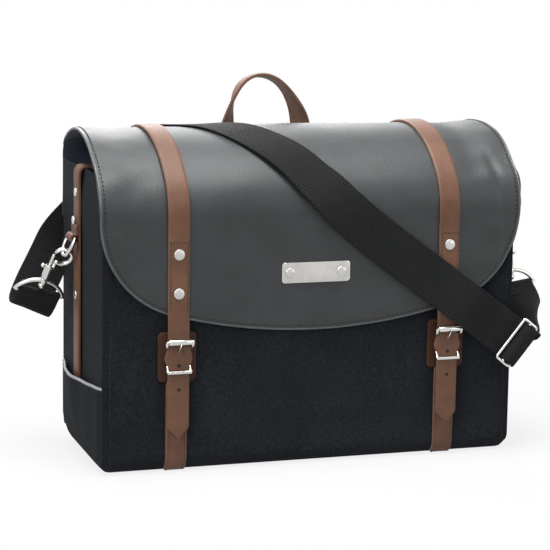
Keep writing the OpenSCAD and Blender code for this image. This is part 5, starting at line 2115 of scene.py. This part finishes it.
class Studio:
    """Floor, light, background and camera, in metres apart from the camera's target and distance.

    A lamp is a row of name, place, aim, size and watts.
    """

    YAW, PITCH, ROLL, DISTANCE = 19.0, 9.67, 0.91, 2200.0
    TARGET = np.array([-12.3, 0.0, 164.4])
    FOCAL_PX, FRAME_PX, SENSOR = 2327.0, 550.0, 36.0
    FLOOR_HALF, FLOOR_Z = 6.0, -0.0005
    LAMPS = (
        ("key", (-1.7, -1.3, 1.4), (0, 0, 0.2), 1.3, 38.0),
        ("fill", (1.6, -1.5, 0.9), (0, 0, 0.15), 1.2, 9.0),
        ("top", (-0.12, -0.22, 1.9), (0, 0, 0.25), 1.05, 62.0),
        ("rear", (0.30, 1.9, 1.3), (0, 0, 0.3), 1.2, 32.0),
    )

    def build(self) -> None:
        """Makes everything around the bag."""
        self.camera()
        self.floor()
        self.light()

    def camera(self) -> None:
        """The camera of the photograph's view: left of the front, a little above."""
        yaw, pitch, roll = np.radians([self.YAW, self.PITCH, self.ROLL])
        f = np.array([np.sin(yaw) * np.cos(pitch), np.cos(yaw) * np.cos(pitch), -np.sin(pitch)])
        r = np.array([np.cos(yaw), -np.sin(yaw), 0.0])
        u = np.cross(r, f)
        right, up = np.cos(roll) * r + np.sin(roll) * u, np.cos(roll) * u - np.sin(roll) * r
        data = bpy.data.cameras.new("photo_camera")
        data.sensor_width = self.SENSOR
        data.lens = self.FOCAL_PX / self.FRAME_PX * self.SENSOR
        data.clip_start, data.clip_end = 0.05, 50.0
        cam = bpy.data.objects.new("photo_camera", data)
        m = np.eye(4)
        m[:3, 0], m[:3, 1], m[:3, 2] = right, up, -f
        m[:3, 3] = (self.TARGET - self.DISTANCE * f) * MM
        cam.matrix_world = Matrix(m.tolist())
        bpy.context.scene.collection.objects.link(cam)
        bpy.context.scene.camera = cam

    def floor(self) -> None:
        """A pale floor that shows white to the camera, wholly so farther off, with a soft shadow by the bag."""
        mesh = bpy.data.meshes.new("studio_floor")
        corners = np.array([[-1, -1], [1, -1], [1, 1], [-1, 1]]) * self.FLOOR_HALF
        mesh.from_pydata(on_plane(corners, 2, self.FLOOR_Z).tolist(), [], [(0, 1, 2, 3)])
        obj = bpy.data.objects.new("studio_floor", mesh)
        bpy.context.scene.collection.objects.link(obj)
        g = Graph("pale_floor")
        g.set("Base Color", (0.45, 0.45, 0.45, 1.0))
        g.set("Roughness", 0.9)
        g.set("Specular IOR Level", 0.0)
        seen = self.seen(g)
        far = g.node("ShaderNodeVectorMath", {"operation": "LENGTH"}, {0: g.place()}, "Value").span(0.35, 0.9)
        glow = g.node("ShaderNodeEmission", {}, {"Color": (1, 1, 1, 1), "Strength": 1.0})
        share = seen * (far * 0.18 + 0.82)
        mixed = g.node("ShaderNodeMixShader", {}, {0: share, 1: Sock(g, g.shader.outputs[0]), 2: glow})
        g.tree.links.new(mixed.socket, g.tree.nodes["Material Output"].inputs[0])
        mesh.materials.append(g.material)

    @staticmethod
    def seen(g: Graph) -> Sock:
        """One for rays from the camera and for mirror and glass rays, else zero.

        Args:
            g: The node tree.

        Returns:
            The value.
        """
        path = g.node("ShaderNodeLightPath", {}, {}, "Is Camera Ray")
        outs = path.socket.node.outputs
        mirror, through_glass = Sock(g, outs["Is Glossy Ray"]), Sock(g, outs["Is Transmission Ray"])
        return (path + mirror + through_glass).span(0.0, 1.0)

    def light(self) -> None:
        """A key from the upper left, a fill, soft lamps above and behind, and a world white to the camera."""
        scene = bpy.context.scene
        scene.view_settings.view_transform = "Standard"
        world = bpy.data.worlds.new("studio_world")
        scene.world = world
        world.use_nodes = True
        g = Graph.of_world(world)
        g.set("Color", (1, 1, 1, 1))
        g.set("Strength", self.seen(g).span(0.0, 1.0, 0.3, 1.0))
        for name, place, aim, size, watts in self.LAMPS:
            lamp = bpy.data.lights.new(f"{name}_light", "AREA")
            lamp.energy, lamp.size = watts, size
            obj = bpy.data.objects.new(f"{name}_light", lamp)
            z = unit(np.array(place) - np.array(aim))
            x = unit(np.cross([0, 0, 1.0], z))
            m = np.eye(4)
            m[:3, 0], m[:3, 1], m[:3, 2], m[:3, 3] = x, np.cross(z, x), z, place
            obj.matrix_world = Matrix(m.tolist())
            scene.collection.objects.link(obj)


def dress_board() -> None:
    """Gives the hidden back board its finish."""
    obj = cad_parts["back_board"]
    obj.data.materials.clear()
    obj.data.materials.append(BOARD.material())


def main() -> None:
    """Builds the bag and its studio."""
    logging.basicConfig(level=logging.INFO, format="%(name)s %(message)s")
    Studio().build()
    maker = Maker()
    flap = Flap(maker)
    hooks = SnapHooks(maker)
    hooks.build()
    ShoulderStrap(maker, hooks).build()
    flap.build()
    body = Body(maker, flap)
    body.build()
    SidePockets(maker, body).build()
    ClosureStraps(maker, flap).build()
    NamePlate(maker).build()
    Handle(maker).build()
    SideStraps(maker).build()
    dress_board()


if __name__ == "__main__":
    main()
